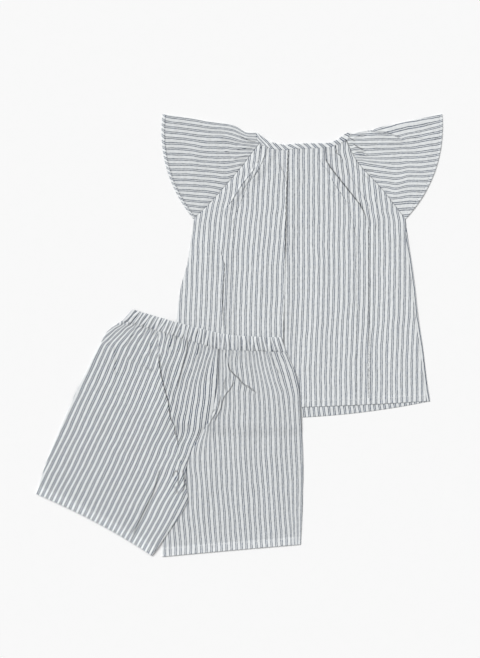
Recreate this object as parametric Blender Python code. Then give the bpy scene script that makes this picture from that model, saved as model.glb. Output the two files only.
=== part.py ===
"""A child's summer pyjama set laid flat on a table, as hollow cloth walls at real size.

The set is an A-line top with raglan flutter sleeves and a bound neck, and pull-on shorts whose upper part
lies over the top's lower left corner. Seen from above, +X is to the right and +Y towards the neck. The
surface that the set lies on is z = 0, and the origin is below the middle of the set. Lengths in the tables
are millimetres; meshes are in metres.
"""

from collections import namedtuple
import math

import bpy
import numpy as np

MM = 0.001

# ---------------------------------------------------------------- cloth and seams
CLOTH = 1.0  # wall of every plain panel
SEAM_GAP = 0.3  # between pieces at a seam, and between cloths that lie on each other
LAYER = CLOTH + SEAM_GAP  # each cloth lies this much above the next
BACK_MIDDLE = CLOTH / 2  # height of the middle of a cloth that lies on the floor
FRONT_MIDDLE = BACK_MIDDLE + LAYER  # and of the cloth on top of it
STACK = 2 * LAYER  # a garment's front and back together
SEAM_SHIFT = 0.2  # each panel stops this far short of a slanting seam
BEND = LAYER / 2  # radius of a pressed fold, at the middle of the cloth
BEND_STEPS = 3  # facets in each half turn of a pressed fold
LEAST_BEND = 1.2  # shortest length of cloth in a half turn as the fold opens
LEAST_RUN = 0.3  # and between the two half turns
OPENING = 1.0  # a fold less deep than this stands partly open
COVER = 1.6  # the upper cloth stays level this far past the hidden one
FOLD_SLOPE = 18.0  # the upper cloth comes down over this much beside a pressed fold
RIDGE_WIDTH = 8.0  # half width of a soft, rounded crease

# ---------------------------------------------------------------- the top
# The neck binding from its left end to its right: a bias strip folded over the neck edge.
BindingSection = namedtuple("BindingSection", "low_x low_y high_x high_y bow")
BINDING_SECTIONS = tuple(
    BindingSection(*row)
    for row in (
        (31.0, 297.0, 26.0, 313.5, 1.4),
        (38.0, 293.0, 31.5, 310.5, 1.0),
        (43.0, 291.0, 40.0, 303.5, 0.4),
        (49.0, 289.0, 49.0, 299.0, 0.0),
        (61.0, 287.3, 61.0, 296.0, 0.0),
        (74.0, 286.7, 73.0, 294.5, 0.0),
        (83.0, 288.3, 80.0, 296.0, 0.0),
        (110.0, 289.5, 110.0, 297.0, 0.0),
        (137.0, 290.5, 137.0, 297.5, 0.0),
        (148.0, 294.0, 150.0, 302.0, 0.0),
        (156.0, 297.0, 160.0, 309.0, 0.0),
        (165.0, 302.0, 168.0, 313.5, 0.0),
    )
)
BINDING_WALL = 1.4
BINDING_STEPS = 2  # facets across the strip

# The body from neck to hem. The first seven rows end on the raglan seams, the rest on the side seams.
BodySection = namedtuple("BodySection", "left_x left_y right_x right_y bow neck_share")
BODY_SECTIONS = tuple(
    BodySection(*row)
    for row in (
        (31, 297, 165, 302, 0, 1.0),  # neckline
        (20, 283, 172, 288, 0, 0.7),
        (6, 264, 182, 270, 0, 0.4),
        (-10, 245, 196, 253, 0, 0.2),
        (-28, 224, 216, 232, 0, 0.1),
        (-50, 200, 237, 206, 0, 0.0),
        (-71, 180, 257, 180, 0, 0.0),  # underarms
        (-75, 148, 261, 148, 0, 0.0),
        (-81, 110, 267, 110, 0, 0.0),
        (-91, 73, 272, 73, 0, 0.0),
        (-97, 27, 277, 27, 0, 0.0),
        (-104, -30, 284, -20, 0, 0.0),
        (-111, -78, 290, -70, -2, 0.0),
        (-117, -113, 295, -102, -4, 0.0),  # hem of the front
    )
)
BACK_HEM = BodySection(-117, -119, 295, -102, -17, 0.0)  # the back's hem hangs lower in the middle
RAGLAN_ROWS = 7
BODY_ROWS_BETWEEN = 2

# Folds that run down the front. Depth is the width of cloth tucked under, ridge the height of a soft crease.
FoldPoint = namedtuple("FoldPoint", "y x depth ridge")
LEFT_TUCK = tuple(
    FoldPoint(*row)
    for row in (
        (300, 46, 3.0, 0.0),
        (255, 24, 4.0, 0.0),
        (210, -10, 3.2, 0.0),
        (164, -24, 0.4, 1.0),
        (148, -24, 0.0, 1.5),
        (106, -19, 0.0, 2.2),
        (40, -22, 0.0, 0.8),
        (15, -22, 0.0, 0.0),
        (-130, -22, 0.0, 0.0),
    )
)
CENTRE_PLEAT = tuple(
    FoldPoint(*row)
    for row in (
        (300, 76, 12.0, 0.0),
        (210, 74, 9.0, 0.0),
        (137, 72, 6.0, 0.0),
        (60, 71, 2.8, 0.0),
        (42, 71, 1.4, 0.0),
        (27, 70, 0.7, 0.0),
        (-11, 70, 0.0, 0.0),
        (-130, 68, 0.0, 0.0),
    )
)
RIGHT_TUCK = tuple(
    FoldPoint(*row)
    for row in (
        (300, 131, 2.0, 0.0),
        (271, 133, 4.0, 0.0),
        (246, 150, 5.0, 0.0),
        (225, 168, 4.4, 0.0),
        (184, 196, 2.4, 0.4),
        (148, 207, 0.4, 2.0),
        (110, 206, 0.0, 2.4),
        (55, 205, 0.0, 1.8),
        (-60, 208, 0.0, 2.0),
        (-130, 210, 0.0, 1.2),
    )
)
OVER_RIGHT = 1  # the cloth on the right of the fold lies on top
OVER_LEFT = -1
FRONT_FOLDS = ((LEFT_TUCK, OVER_RIGHT), (CENTRE_PLEAT, OVER_RIGHT), (RIGHT_TUCK, OVER_LEFT))
FRONT_COLUMNS = (3, 4, 5, 4)  # facets before, between and after the folds
NECKLINE_GAP = 0.8  # from the binding's rounded lower edge to both necklines

# The sleeves' shoulder folds from neck to tip, one row for each row of the raglan seam. Bow is how far the
# row curves out, most of all at the hem.
SleeveSection = namedtuple("SleeveSection", "shoulder_x shoulder_y bow")
LEFT_SLEEVE = tuple(
    SleeveSection(*row)
    for row in (
        (26.0, 313.5, 1.4),
        (10.0, 314.5, 0.5),
        (-6.0, 323.5, 2.0),
        (-24.0, 328.0, 5.0),
        (-50.0, 331.5, 9.0),
        (-84.0, 337.5, 13.0),
        (-119.0, 342.5, 18.0),
    )
)
RIGHT_SLEEVE = tuple(
    SleeveSection(*row)
    for row in (
        (168.0, 313.5, 0.0),
        (184.0, 314.5, 0.0),
        (203.0, 317.5, -2.0),
        (219.0, 322.5, -5.0),
        (244.0, 327.5, -9.0),
        (278.0, 335.0, -13.0),
        (314.0, 342.5, -18.5),
    )
)
SLEEVE_COLUMNS = 6
SLEEVE_ROWS_BETWEEN = 2
NECK_GAP = 0.5  # along a sleeve, from the binding's rounded end to the sleeve
# Soft creases that fan out from the neck over each sleeve: from, to, and height.
Crease = namedtuple("Crease", "from_x from_y to_x to_y height")
SLEEVE_CREASES = (
    Crease(20, 303, -41, 306, 1.6),
    Crease(16, 292, -12, 266, 1.3),
    Crease(-40, 300, -66, 212, 1.0),
    Crease(182, 297, 268, 292, 1.6),
    Crease(224, 322, 300, 338, 1.2),
    Crease(228, 240, 292, 226, 1.2),
)

# ---------------------------------------------------------------- the shorts
# Each leg from waist to hem. Inner points follow the rise to the crotch and then the inseam; outer points
# follow the fold at the outside of the leg. Fold_at is the pressed fold's place from inner to outer edge.
LegSection = namedtuple("LegSection", "inner_x inner_y outer_x outer_y bow fold_at fold_depth")
LEFT_LEG = tuple(
    LegSection(*row)
    for row in (
        (-31, -21.5, -181, 23, 0.0, 0.57, 0.0),  # waist
        (-32, -45, -195, 14, 0.0, 0.55, 1.2),
        (-33, -70, -207, 3, 0.0, 0.52, 3.0),
        (-37, -95, -215, -12, 0.0, 0.46, 4.5),
        (-43, -124, -226, -33, 0.0, 0.38, 5.0),
        (-51, -155, -238, -58, 0.0, 0.29, 4.2),
        (-61, -185, -250, -81, 0.0, 0.20, 2.0),
        (-72, -210, -261, -106, 0.0, 0.16, 0.6),
        (-83, -234, -272, -131, 0.0, 0.15, 0.2),  # crotch
        (-80, -254, -281, -152, 0.0, 0.15, 0.0),
        (-91, -277, -291, -176, -1.0, 0.15, 0.0),
        (-106, -299, -300, -200, -2.0, 0.15, 0.0),
        (-121, -321, -308, -223, -3.0, 0.15, 0.0),
        (-136, -341, -315, -246, -4.5, 0.15, 0.0),  # hem
    )
)
RIGHT_LEG = tuple(
    LegSection(*row)
    for row in (
        (-31, -21.5, 73, -26, 0.0, 0.5, 0.0),  # waist
        (-32, -45, 81, -45, 0.0, 0.5, 0.0),
        (-33, -70, 89, -63, 0.0, 0.5, 0.0),
        (-37, -95, 93, -88, 0.0, 0.5, 0.0),
        (-43, -124, 95, -115, 0.0, 0.5, 0.0),
        (-51, -155, 96, -141, 0.0, 0.5, 0.0),
        (-61, -185, 98, -167, 0.0, 0.5, 0.0),
        (-72, -210, 99, -195, 0.0, 0.5, 0.0),
        (-83, -234, 99, -222, 0.0, 0.5, 0.0),  # crotch
        (-97, -254, 98, -243, 0.0, 0.5, 0.0),
        (-108, -271, 98, -263, 0.0, 0.5, 0.0),
        (-114, -295, 97, -284, 0.0, 0.5, 0.0),
        (-119, -319, 96, -304, 0.0, 0.5, 0.0),
        (-120, -343, 95, -324, 0.5, 0.5, 0.0),  # hem
    )
)
LEG_GATHERS = 10  # gathers in each leg's front below the waistband
FOLD_COLUMNS_SHARE = 0.35  # share of the left leg's facets that lie between the rise and the pressed fold
NEAR_OUTER_EDGE = 0.92  # where along a row its direction at the outer edge is taken from
GATHER_RISE = 1.8  # their height at the waistband
GATHER_FADE = 26.0  # and how far down the leg they run
WAIST_GAP = 0.5  # from the waistband to each leg at the rise
WAIST_GAP_OUTSIDE = 0.75  # and at the outside, where the band slants
LEFT_LEG_CREASES = (
    Crease(-199, 12, -143, -51, 1.4),
    Crease(-132, -235, -168, -315, 1.4),
    Crease(-72, -200, -88, -250, 1.2),
)
RIGHT_LEG_CREASES = (Crease(-45, -43, -10, -82, 1.4),)

# The gathered waistband: a casing with its elastic inside, from its left end to its right.
WaistSection = namedtuple("WaistSection", "low_x low_y high_x high_y")
WAIST_SECTIONS = tuple(
    WaistSection(*row)
    for row in (
        (-181.0, 23.0, -166.0, 40.0),
        (-106.0, 0.75, -98.0, 20.0),
        (-31.0, -21.5, -36.0, 3.5),
        (19.0, -23.7, 15.0, -2.0),
        (73.0, -26.0, 66.0, -4.0),
    )
)
WAIST_WALL = 2.0
WAIST_GATHERS = 38
WAIST_RIPPLE = 1.3  # height of one gather
WAIST_STEPS_PER_GATHER = 3
WAIST_STEPS = 3  # facets across the band

# How the shorts ride up over the top, and the left leg over the right one.
DRAPE_LEVEL = 11.0  # the shorts stay at full height this far past the edge of the top
DRAPE_SLOPE = 20.0  # and come down over this much
LEG_LIFT_FROM = -165.0  # the left leg starts to rise here, above the crotch
LEG_LIFT_OVER = 52.0  # and is at full height this much lower down
LEG_DRAPE_LEVEL = 9.0  # it stays at full height this far past the right leg's inner edge
LEG_DRAPE_SLOPE = 34.0  # and comes down over this much

COTTON = (0.78, 0.80, 0.82, 1.0)
BINDING_COTTON = (0.74, 0.76, 0.79, 1.0)
COTTON_ROUGHNESS = 0.85


# ---------------------------------------------------------------- small helpers
def ease(share):
    """0 to 1 with a level start and end."""
    share = min(max(share, 0.0), 1.0)
    return share * share * (3.0 - 2.0 * share)


def interpolated(sections, rows_between):
    """The rows of a table with others evenly between them."""
    table = np.array(sections, float)
    count = (len(table) - 1) * rows_between + 1
    places = np.linspace(0, len(table) - 1, count)
    return np.array([[np.interp(place, range(len(table)), column) for column in table.T] for place in places])


def column_at(points, y, name):
    """A fold's value at a height y, from its table."""
    ordered = sorted(points)
    return float(np.interp(y, [point.y for point in ordered], [getattr(point, name) for point in ordered]))


def crease_height(creases, x, y):
    """How much the soft creases lift the cloth at a place."""
    total = 0.0
    for crease in creases:
        start = np.array((crease.from_x, crease.from_y), float)
        along = np.array((crease.to_x, crease.to_y), float) - start
        length = np.linalg.norm(along)
        share = np.dot((x, y) - start, along) / length**2
        aside = abs(along[0] * (y - start[1]) - along[1] * (x - start[0])) / length
        taper = ease(2.0 - abs(4.0 * share - 2.0))
        total += crease.height * taper * math.exp(-((aside / RIDGE_WIDTH) ** 2))
    return total


# ---------------------------------------------------------------- pressed folds
def pressed_fold(depth):
    """The cloth's middle line through one pressed fold, from the lower cloth on the left to the upper one on
    the right: two half turns with a level run between. It opens to a low step as its depth runs out.
    Gives steps across and up from the fold's visible edge."""
    turn = math.pi * ease(depth / OPENING)
    run = max(depth - OPENING, 0.0) + LEAST_RUN
    step = max(BEND * turn, LEAST_BEND) / BEND_STEPS
    headings = [turn * (index + 0.5) / BEND_STEPS for index in range(BEND_STEPS)]
    lengths = [step] * BEND_STEPS
    moves = list(zip(lengths, headings)) + [(run, turn)] + list(zip(lengths, headings[::-1]))
    points = [(0.0, 0.0)]
    for length, heading in moves:
        across, up = points[-1]
        points.append((across + length * math.cos(heading), up + length * math.sin(heading)))
    edge = (points[-2][0] + points[-3][0]) / 2
    return [(across - edge, up) for across, up in points]


def folded_line(length, folds, columns):
    """A section of cloth of some length with its folds: how far along and how far up each point is, and
    apart from them the places outside the folds. Each fold is (at, depth, ridge, side)."""
    curves = []
    for at, depth, ridge, side in folds:
        curve = pressed_fold(depth)
        if side == OVER_LEFT:
            curve = [(-across, up) for across, up in reversed(curve)]
        curves.append([(at + across, up) for across, up in curve])
    line = []
    plain = []
    start = 0.0
    for index, count in enumerate(columns):
        before = folds[index - 1] if index else None
        after = folds[index] if index < len(folds) else None
        end = curves[index][0][0] if after else length
        level_start = start + (before[1] + COVER if before and before[3] == OVER_RIGHT else 0.0)
        level_end = end - (after[1] + COVER if after and after[3] == OVER_LEFT else 0.0)
        places = list(np.linspace(level_start, level_end, count + 1))
        if before and level_start == start:
            places = places[1:]
        if after and level_end == end:
            places = places[:-1]
        for place in places:
            up = 0.0
            if before:
                up += before[2] * math.exp(-(((place - before[0]) / RIDGE_WIDTH) ** 2))
                if before[3] == OVER_RIGHT:
                    up += curves[index - 1][-1][1] * (1 - ease((place - level_start) / FOLD_SLOPE))
            if after:
                up += after[2] * math.exp(-(((place - after[0]) / RIDGE_WIDTH) ** 2))
                if after[3] == OVER_LEFT:
                    up += curves[index][0][1] * (1 - ease((level_end - place) / FOLD_SLOPE))
            line.append((place, up))
            plain.append(place)
        if after:
            line += [(place, up + after[2]) for place, up in curves[index]]
            plain.append(after[0])
            start = curves[index][-1][0]
    return line, plain


def on_row(start, end, bow, share):
    """The place at a share of the way along a row that bows to its left side."""
    along = np.subtract(end, start)
    aside = np.array((-along[1], along[0])) / np.linalg.norm(along)
    return np.add(start, along * share) + aside * 4 * bow * share * (1 - share)


# ---------------------------------------------------------------- walls
def unit(vectors):
    return vectors / np.linalg.norm(vectors, axis=-1, keepdims=True)


def directions(grid, axis, closed):
    """The direction of the grid lines along an axis at each point, the mean of the two sides."""
    steps = unit(np.diff(grid, axis=axis))
    if closed:
        ring = unit(np.take(grid, [0], axis) - np.take(grid, [-1], axis))
        ahead = np.concatenate([steps, ring], axis)
        behind = np.concatenate([ring, steps], axis)
    else:
        ahead = np.concatenate([steps, np.take(steps, [-1], axis)], axis)
        behind = np.concatenate([np.take(steps, [0], axis), steps], axis)
    return unit(ahead + behind)


def cotton(name, colour):
    material = bpy.data.materials.new(name)
    material.use_nodes = True
    shader = material.node_tree.nodes["Principled BSDF"]
    shader.inputs["Base Color"].default_value = colour
    shader.inputs["Roughness"].default_value = COTTON_ROUGHNESS
    shader.inputs["Metallic"].default_value = 0.0
    return material


def wall(name, grid, thickness, colour=COTTON, closed=False):
    """A closed cloth wall around a grid of its middle points, rows by columns, in millimetres. A closed grid
    joins its last column to its first. Each facet is halved along its diagonal that is shorter in plan, so
    that cloths that lie on each other bend alike."""
    grid = np.array(grid, float)
    out = unit(np.cross(directions(grid, 1, closed), -directions(grid, 0, False)))
    rows, columns = grid.shape[:2]
    outer = (grid + out * thickness / 2).reshape(-1, 3)
    inner = (grid - out * thickness / 2).reshape(-1, 3)
    offset = rows * columns

    def at(row, column):
        return row * columns + column % columns

    faces = []
    plan = grid.reshape(-1, 3)[:, :2]
    last = columns if closed else columns - 1
    for row in range(rows - 1):
        for column in range(last):
            near, high = at(row, column), at(row, column + 1)
            low, far = at(row + 1, column), at(row + 1, column + 1)
            if np.linalg.norm(plan[near] - plan[far]) < np.linalg.norm(plan[low] - plan[high]):
                halves = ((near, low, far), (near, far, high))
            else:
                halves = ((near, low, high), (low, far, high))
            for half in halves:
                faces.append(half)
                faces.append(tuple(offset + corner for corner in reversed(half)))
    for column in range(last):
        top = (at(0, column), at(0, column + 1))
        low = (at(rows - 1, column + 1), at(rows - 1, column))
        for first, second in (top, low):
            faces.append((first, second, second + offset, first + offset))
    if not closed:
        for row in range(rows - 1):
            left = (at(row + 1, 0), at(row, 0))
            right = (at(row, columns - 1), at(row + 1, columns - 1))
            for first, second in (left, right):
                faces.append((first, second, second + offset, first + offset))
    mesh = bpy.data.meshes.new(name)
    mesh.from_pydata((np.concatenate([outer, inner]) * MM).tolist(), [], faces)
    mesh.validate()
    mesh.shade_smooth()
    mesh.set_sharp_from_angle(angle=math.radians(50))
    mesh.materials.append(cotton(name + " cotton", colour))
    piece = bpy.data.objects.new(name, mesh)
    bpy.context.scene.collection.objects.link(piece)
    return piece


def turned_edge(edge_point, inward, low, high, wall_thickness, steps):
    """The middle points of a fold at a garment's edge, from the upper cloth round to the lower one."""
    radius = (high - low) / 2
    centre = np.add(edge_point, np.multiply(inward, radius + wall_thickness / 2))
    points = []
    for index in range(steps + 1):
        angle = math.pi * index / steps
        place = centre - np.multiply(inward, radius * math.sin(angle))
        points.append((place[0], place[1], low + radius + radius * math.cos(angle)))
    return points


# ---------------------------------------------------------------- the top's pieces
def neck_dip(share):
    """How far the neckline lies off the straight line between its ends."""
    first, last = BINDING_SECTIONS[0], BINDING_SECTIONS[-1]
    x = first.low_x + (last.low_x - first.low_x) * share
    straight = first.low_y + (last.low_y - first.low_y) * share
    curve = np.interp(x, [row.low_x for row in BINDING_SECTIONS], [row.low_y for row in BINDING_SECTIONS])
    return float(curve) - straight


def body_point(section, share):
    left_x, left_y, right_x, right_y, bow, neck_share = section
    x, y = on_row((left_x, left_y), (right_x, right_y), bow, share)
    return x, y + neck_share * neck_dip(min(max(share, 0.0), 1.0))


def body_shares(section, line):
    """Distances along a row as shares of it, kept clear of the seams at both ends."""
    length = section[2] - section[0]
    return [min(max(place, SEAM_SHIFT), length - SEAM_SHIFT) / length for place, _ in line]


def top_front():
    grid = []
    for section in interpolated(BODY_SECTIONS, BODY_ROWS_BETWEEN):
        left_x, _, right_x, _, _, _ = section
        length = right_x - left_x
        middle_y = body_point(section, 0.5)[1]
        folds = [
            (
                column_at(points, middle_y, "x") - left_x,
                column_at(points, middle_y, "depth"),
                column_at(points, middle_y, "ridge"),
                side,
            )
            for points, side in FRONT_FOLDS
        ]
        line, _ = folded_line(length, folds, FRONT_COLUMNS)
        shares = body_shares(section, line)
        row = []
        for share, (_, up) in zip(shares, line):
            x, y = body_point(section, share)
            row.append((x, y - NECKLINE_GAP * section[-1], FRONT_MIDDLE + up))
        grid.append(row)
    return wall("top_front", grid, CLOTH)


def neck_shares():
    """The corners of the binding's lower edge, as shares of the way along it."""
    first, last = BINDING_SECTIONS[0].low_x, BINDING_SECTIONS[-1].low_x
    return [(row.low_x - first) / (last - first) for row in BINDING_SECTIONS]


def top_back():
    grid = []
    for section in interpolated(BODY_SECTIONS[:-1] + (BACK_HEM,), 1):
        length = section[2] - section[0]
        row = []
        for corner in neck_shares():
            share = min(max(corner, SEAM_SHIFT / length), 1 - SEAM_SHIFT / length)
            x, y = body_point(section, share)
            row.append((x, y - NECKLINE_GAP * section[-1], BACK_MIDDLE))
        grid.append(row)
    return wall("top_back", grid, CLOTH)


def folded_piece(rows, height, front_lines, back_lines):
    """A panel folded at its outer edge: its front cloth, the fold and its back cloth. Each row is its inner
    point, its outer point and its bow; height gives the lower face of the back cloth at a place."""
    grid = []
    for (inner, outer, bow), line, back_line in zip(rows, front_lines, back_lines):
        length = float(np.linalg.norm(np.subtract(outer, inner)))
        inward = unit(np.subtract(on_row(inner, outer, bow, NEAR_OUTER_EDGE), outer))
        front = []
        for place, up in line:
            x, y = on_row(inner, outer, bow, max(place, SEAM_SHIFT) / length)
            front.append((x, y, height(x, y) + FRONT_MIDDLE + up))
        floor = height(*outer)
        fold = turned_edge(outer, inward, floor + BACK_MIDDLE, floor + FRONT_MIDDLE, CLOTH, BEND_STEPS)
        back = []
        for place in reversed(back_line):
            x, y = on_row(inner, outer, bow, max(place, SEAM_SHIFT) / length)
            back.append((x, y, height(x, y) + BACK_MIDDLE))
        grid.append(front + fold + back)
    return grid


def sleeve(name, sections, raglan):
    """One sleeve, from the raglan seam of the front, over the shoulder fold, to the seam of the back."""
    shoulders = interpolated(sections, SLEEVE_ROWS_BETWEEN)
    seam = interpolated(raglan, SLEEVE_ROWS_BETWEEN)
    rows = [((x, y), (sx, sy), bow) for (x, y), (sx, sy, bow) in zip(seam, shoulders)]
    shares = [column / SLEEVE_COLUMNS for column in range(SLEEVE_COLUMNS)]
    lines = []
    for inner, outer, bow in rows:
        length = float(np.linalg.norm(np.subtract(outer, inner)))
        line = []
        for share in shares:
            x, y = on_row(inner, outer, bow, share)
            line.append((share * length, crease_height(SLEEVE_CREASES, x, y)))
        lines.append(line)
    plain = [[place for place, _ in line] for line in lines]
    grid = np.array(folded_piece(rows, lambda x, y: 0.0, lines, plain))
    if outward_turns(grid):
        grid = grid[:, ::-1]
    neck_clear(grid)
    return wall(name, grid, CLOTH)


def outward_turns(grid):
    """Whether the front cloth of a folded piece faces down, so that its columns run the wrong way."""
    first = np.cross(grid[0][1] - grid[0][0], grid[0][0] - grid[1][0])
    return first[2] < 0


def neck_clear(grid):
    """Moves the first row of a sleeve a seam's gap away from the binding."""
    away = grid[1] - grid[0]
    away[:, 2] = 0.0
    grid[0] += unit(away) * NECK_GAP


def neck_binding():
    """The binding as a flattened loop: its front strand, a fold at each end, and its back strand."""
    sections = interpolated(BINDING_SECTIONS, 2)
    low, high = BINDING_WALL / 2, BINDING_WALL * 1.5 + SEAM_GAP
    inset = (high - low) / 2 + BINDING_WALL / 2
    count = len(sections)
    grid = []
    for step in range(BINDING_STEPS + 1):
        share = step / BINDING_STEPS
        places = []
        for low_x, low_y, high_x, high_y, bow in sections:
            places.append(on_row((low_x, low_y), (high_x, high_y), bow, share))
        left_in, right_in = across_end(sections[0]), -across_end(sections[-1])
        places[0] = places[0] + left_in * inset
        places[-1] = places[-1] + right_in * inset
        front = [(x, y, high) for x, y in places]
        back = [(x, y, low) for x, y in places[::-1]]
        right = turned_edge(places[-1] - right_in * inset, right_in, low, high, BINDING_WALL, BEND_STEPS)
        left = turned_edge(places[0] - left_in * inset, left_in, low, high, BINDING_WALL, BEND_STEPS)
        row = front[: count - 1] + right + back[1:-1] + left[::-1][:-1]
        grid.append(row)
    return wall("neck_binding", grid[::-1], BINDING_WALL, BINDING_COTTON, closed=True)


def across_end(section):
    """The level direction square to one end of the binding, from left to right."""
    low_x, low_y, high_x, high_y, _ = section
    return unit(np.array((high_y - low_y, low_x - high_x)))


# ---------------------------------------------------------------- the shorts' pieces
def top_under(x, y):
    """How high the shorts ride at a place, over the top that they lie on."""
    levels = [(row.left_y, row.left_x) for row in reversed(BODY_SECTIONS)]
    left_edge = np.interp(y, [level for level, _ in levels], [edge for _, edge in levels])
    hem = [body_point(BACK_HEM, share) for share in neck_shares()]
    hem_edge = np.interp(x, [place[0] for place in hem], [place[1] for place in hem])
    past = math.hypot(max(left_edge - x, 0.0), max(hem_edge - y, 0.0))
    return STACK * (1 - ease((past - DRAPE_LEVEL) / DRAPE_SLOPE))


def right_leg_edge(y):
    """The inner edge of the right leg at a height y."""
    ordered = RIGHT_LEG[::-1]
    return float(np.interp(y, [row.inner_y for row in ordered], [row.inner_x for row in ordered]))


def left_leg_under(x, y):
    """The left leg's inner edge lies over the right leg from the crotch down."""
    inside = ease((x - right_leg_edge(y) + LEG_DRAPE_LEVEL + LEG_DRAPE_SLOPE) / LEG_DRAPE_SLOPE)
    return top_under(x, y) + STACK * inside * ease((LEG_LIFT_FROM - y) / LEG_LIFT_OVER)


def leg(name, sections, height, creases):
    """One leg: its front cloth with gathers and folds, the fold at its outside, and its back cloth."""
    table = [LegSection(*row) for row in interpolated(sections, 1)]
    rows = []
    for index, row in enumerate(table):
        inner, outer = np.array((row.inner_x, row.inner_y)), np.array((row.outer_x, row.outer_y))
        if index == 0:
            inner, outer = inner - (0, WAIST_GAP), outer - (0, WAIST_GAP_OUTSIDE)
        rows.append((inner, outer, row.bow))
    columns = 2 * LEG_GATHERS
    shares = [column / columns for column in range(columns)]
    has_fold = max(row.fold_depth for row in table) > 0
    lines = []
    plain_lines = []
    for row, (inner, outer, bow) in zip(table, rows):
        length = float(np.linalg.norm(np.subtract(outer, inner)))
        if has_fold:
            before = round(columns * FOLD_COLUMNS_SHARE)
            folds = [(row.fold_at * length, row.fold_depth, 0.0, OVER_LEFT)]
            end = length - BEND - CLOTH / 2
            line, plain = folded_line(end, folds, (before, columns - before))
            line.pop()
            plain.pop()
        else:
            line = [(share * length, 0.0) for share in shares]
            plain = [place for place, _ in line]
        waist = rows[0]
        edges = (inner, outer, bow)
        lines.append([(place, up + ripple(place / length, edges, waist, creases)) for place, up in line])
        plain_lines.append(plain)
    grid = np.array(folded_piece(rows, height, lines, plain_lines))
    if outward_turns(grid):
        grid = grid[:, ::-1]
    return wall(name, grid, CLOTH)


def ripple(share, edges, waist, creases):
    """The rise of the gathers and soft creases at a place on a leg's front."""
    x, y = on_row(*edges, share)
    waist_x, waist_y = on_row(waist[0], waist[1], waist[2], share)
    below = math.hypot(x - waist_x, y - waist_y)
    wave = 0.5 - 0.5 * math.cos(2 * math.pi * LEG_GATHERS * share)
    return GATHER_RISE * wave * math.exp(-below / GATHER_FADE) + crease_height(creases, x, y)


def waistband():
    """The waistband as a flattened ring: a gathered front, a fold at each end, and a plain back."""
    stations = WAIST_GATHERS
    table = np.array(WAIST_SECTIONS, float)
    bottom = np.array([(x, y) for x, y, _, _ in table])
    run = np.concatenate([[0], np.cumsum(np.linalg.norm(np.diff(bottom, axis=0), axis=1))])
    spots = np.linspace(0, run[-1], stations + 1)
    sections = np.array([[np.interp(spot, run, column) for column in table.T] for spot in spots])
    low, high = WAIST_WALL / 2, WAIST_WALL * 1.5 + SEAM_GAP
    inset = (high - low) / 2 + WAIST_WALL / 2
    grid = []
    for step in range(WAIST_STEPS + 1):
        share = step / WAIST_STEPS
        places = [(1 - share) * np.array((lx, ly)) + share * np.array((hx, hy)) for lx, ly, hx, hy in sections]
        heights = [top_under(*place) for place in places]
        left_in = unit(places[1] - places[0])
        right_in = unit(places[-2] - places[-1])
        first, last = heights[0], heights[-1]
        left = turned_edge(places[0], left_in, low + first, high + first, WAIST_WALL, BEND_STEPS)
        right = turned_edge(places[-1], right_in, low + last, high + last, WAIST_WALL, BEND_STEPS)
        places[0] = places[0] + left_in * inset
        places[-1] = places[-1] + right_in * inset
        front = []
        for index in range(stations):
            for part in range(WAIST_STEPS_PER_GATHER):
                along = part / WAIST_STEPS_PER_GATHER
                x, y = places[index] * (1 - along) + places[index + 1] * along
                base = heights[index] * (1 - along) + heights[index + 1] * along
                wave = 0.5 - 0.5 * math.cos(2 * math.pi * along)
                front.append((x, y, base + high + WAIST_RIPPLE * wave))
        back = [(*places[index], heights[index] + low) for index in range(stations, -1, -1)]
        grid.append(front + right + back[1:-1] + left[::-1][:-1])
    return wall("waistband", grid[::-1], WAIST_WALL, COTTON, closed=True)


def main():
    for old in list(bpy.data.objects):
        bpy.data.objects.remove(old, do_unlink=True)
    raglan_left = [(row.left_x, row.left_y) for row in BODY_SECTIONS[:RAGLAN_ROWS]]
    raglan_right = [(row.right_x, row.right_y) for row in BODY_SECTIONS[:RAGLAN_ROWS]]
    top_back()
    top_front()
    sleeve("sleeve_left", LEFT_SLEEVE, raglan_left)
    sleeve("sleeve_right", RIGHT_SLEEVE, raglan_right)
    neck_binding()
    leg("shorts_leg_left", LEFT_LEG, left_leg_under, LEFT_LEG_CREASES)
    leg("shorts_leg_right", RIGHT_LEG, top_under, RIGHT_LEG_CREASES)
    waistband()


main()
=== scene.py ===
"""A child's summer pyjama set laid flat, in blue-grey striped cotton poplin.

An A-line top with raglan flutter sleeves and a bias-bound neck, and pull-on shorts whose gathered waistband
and legs lie over the top's lower left corner. +X is to the right, +Y towards the neck, and the set lies on
z = 0. Tables are in millimetres; meshes are in metres.
"""

import math
from collections import namedtuple

import bpy
import numpy as np
from bpy.props import FloatProperty, PointerProperty, StringProperty
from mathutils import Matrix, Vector, noise


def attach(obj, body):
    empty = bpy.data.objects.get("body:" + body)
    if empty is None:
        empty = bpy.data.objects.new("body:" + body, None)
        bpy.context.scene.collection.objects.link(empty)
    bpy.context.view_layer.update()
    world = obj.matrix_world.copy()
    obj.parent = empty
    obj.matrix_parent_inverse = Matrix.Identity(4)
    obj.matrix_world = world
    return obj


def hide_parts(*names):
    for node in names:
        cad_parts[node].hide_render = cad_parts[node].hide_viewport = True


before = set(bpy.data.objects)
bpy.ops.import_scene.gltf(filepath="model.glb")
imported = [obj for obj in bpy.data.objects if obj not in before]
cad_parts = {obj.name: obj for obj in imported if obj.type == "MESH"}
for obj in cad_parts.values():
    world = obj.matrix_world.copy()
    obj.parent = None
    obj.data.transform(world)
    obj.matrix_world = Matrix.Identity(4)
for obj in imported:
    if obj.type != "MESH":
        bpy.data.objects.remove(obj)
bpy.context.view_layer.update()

bl_info = {
    "name": "Striped pyjama set",
    "version": (1, 0, 0),
    "blender": (4, 5, 0),
    "location": "View3D > Sidebar > Pyjamas",
    "description": "Builds a flat-laid pyjama set, piece by piece, in striped cotton poplin",
    "category": "Object",
}

MM = 0.001


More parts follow.
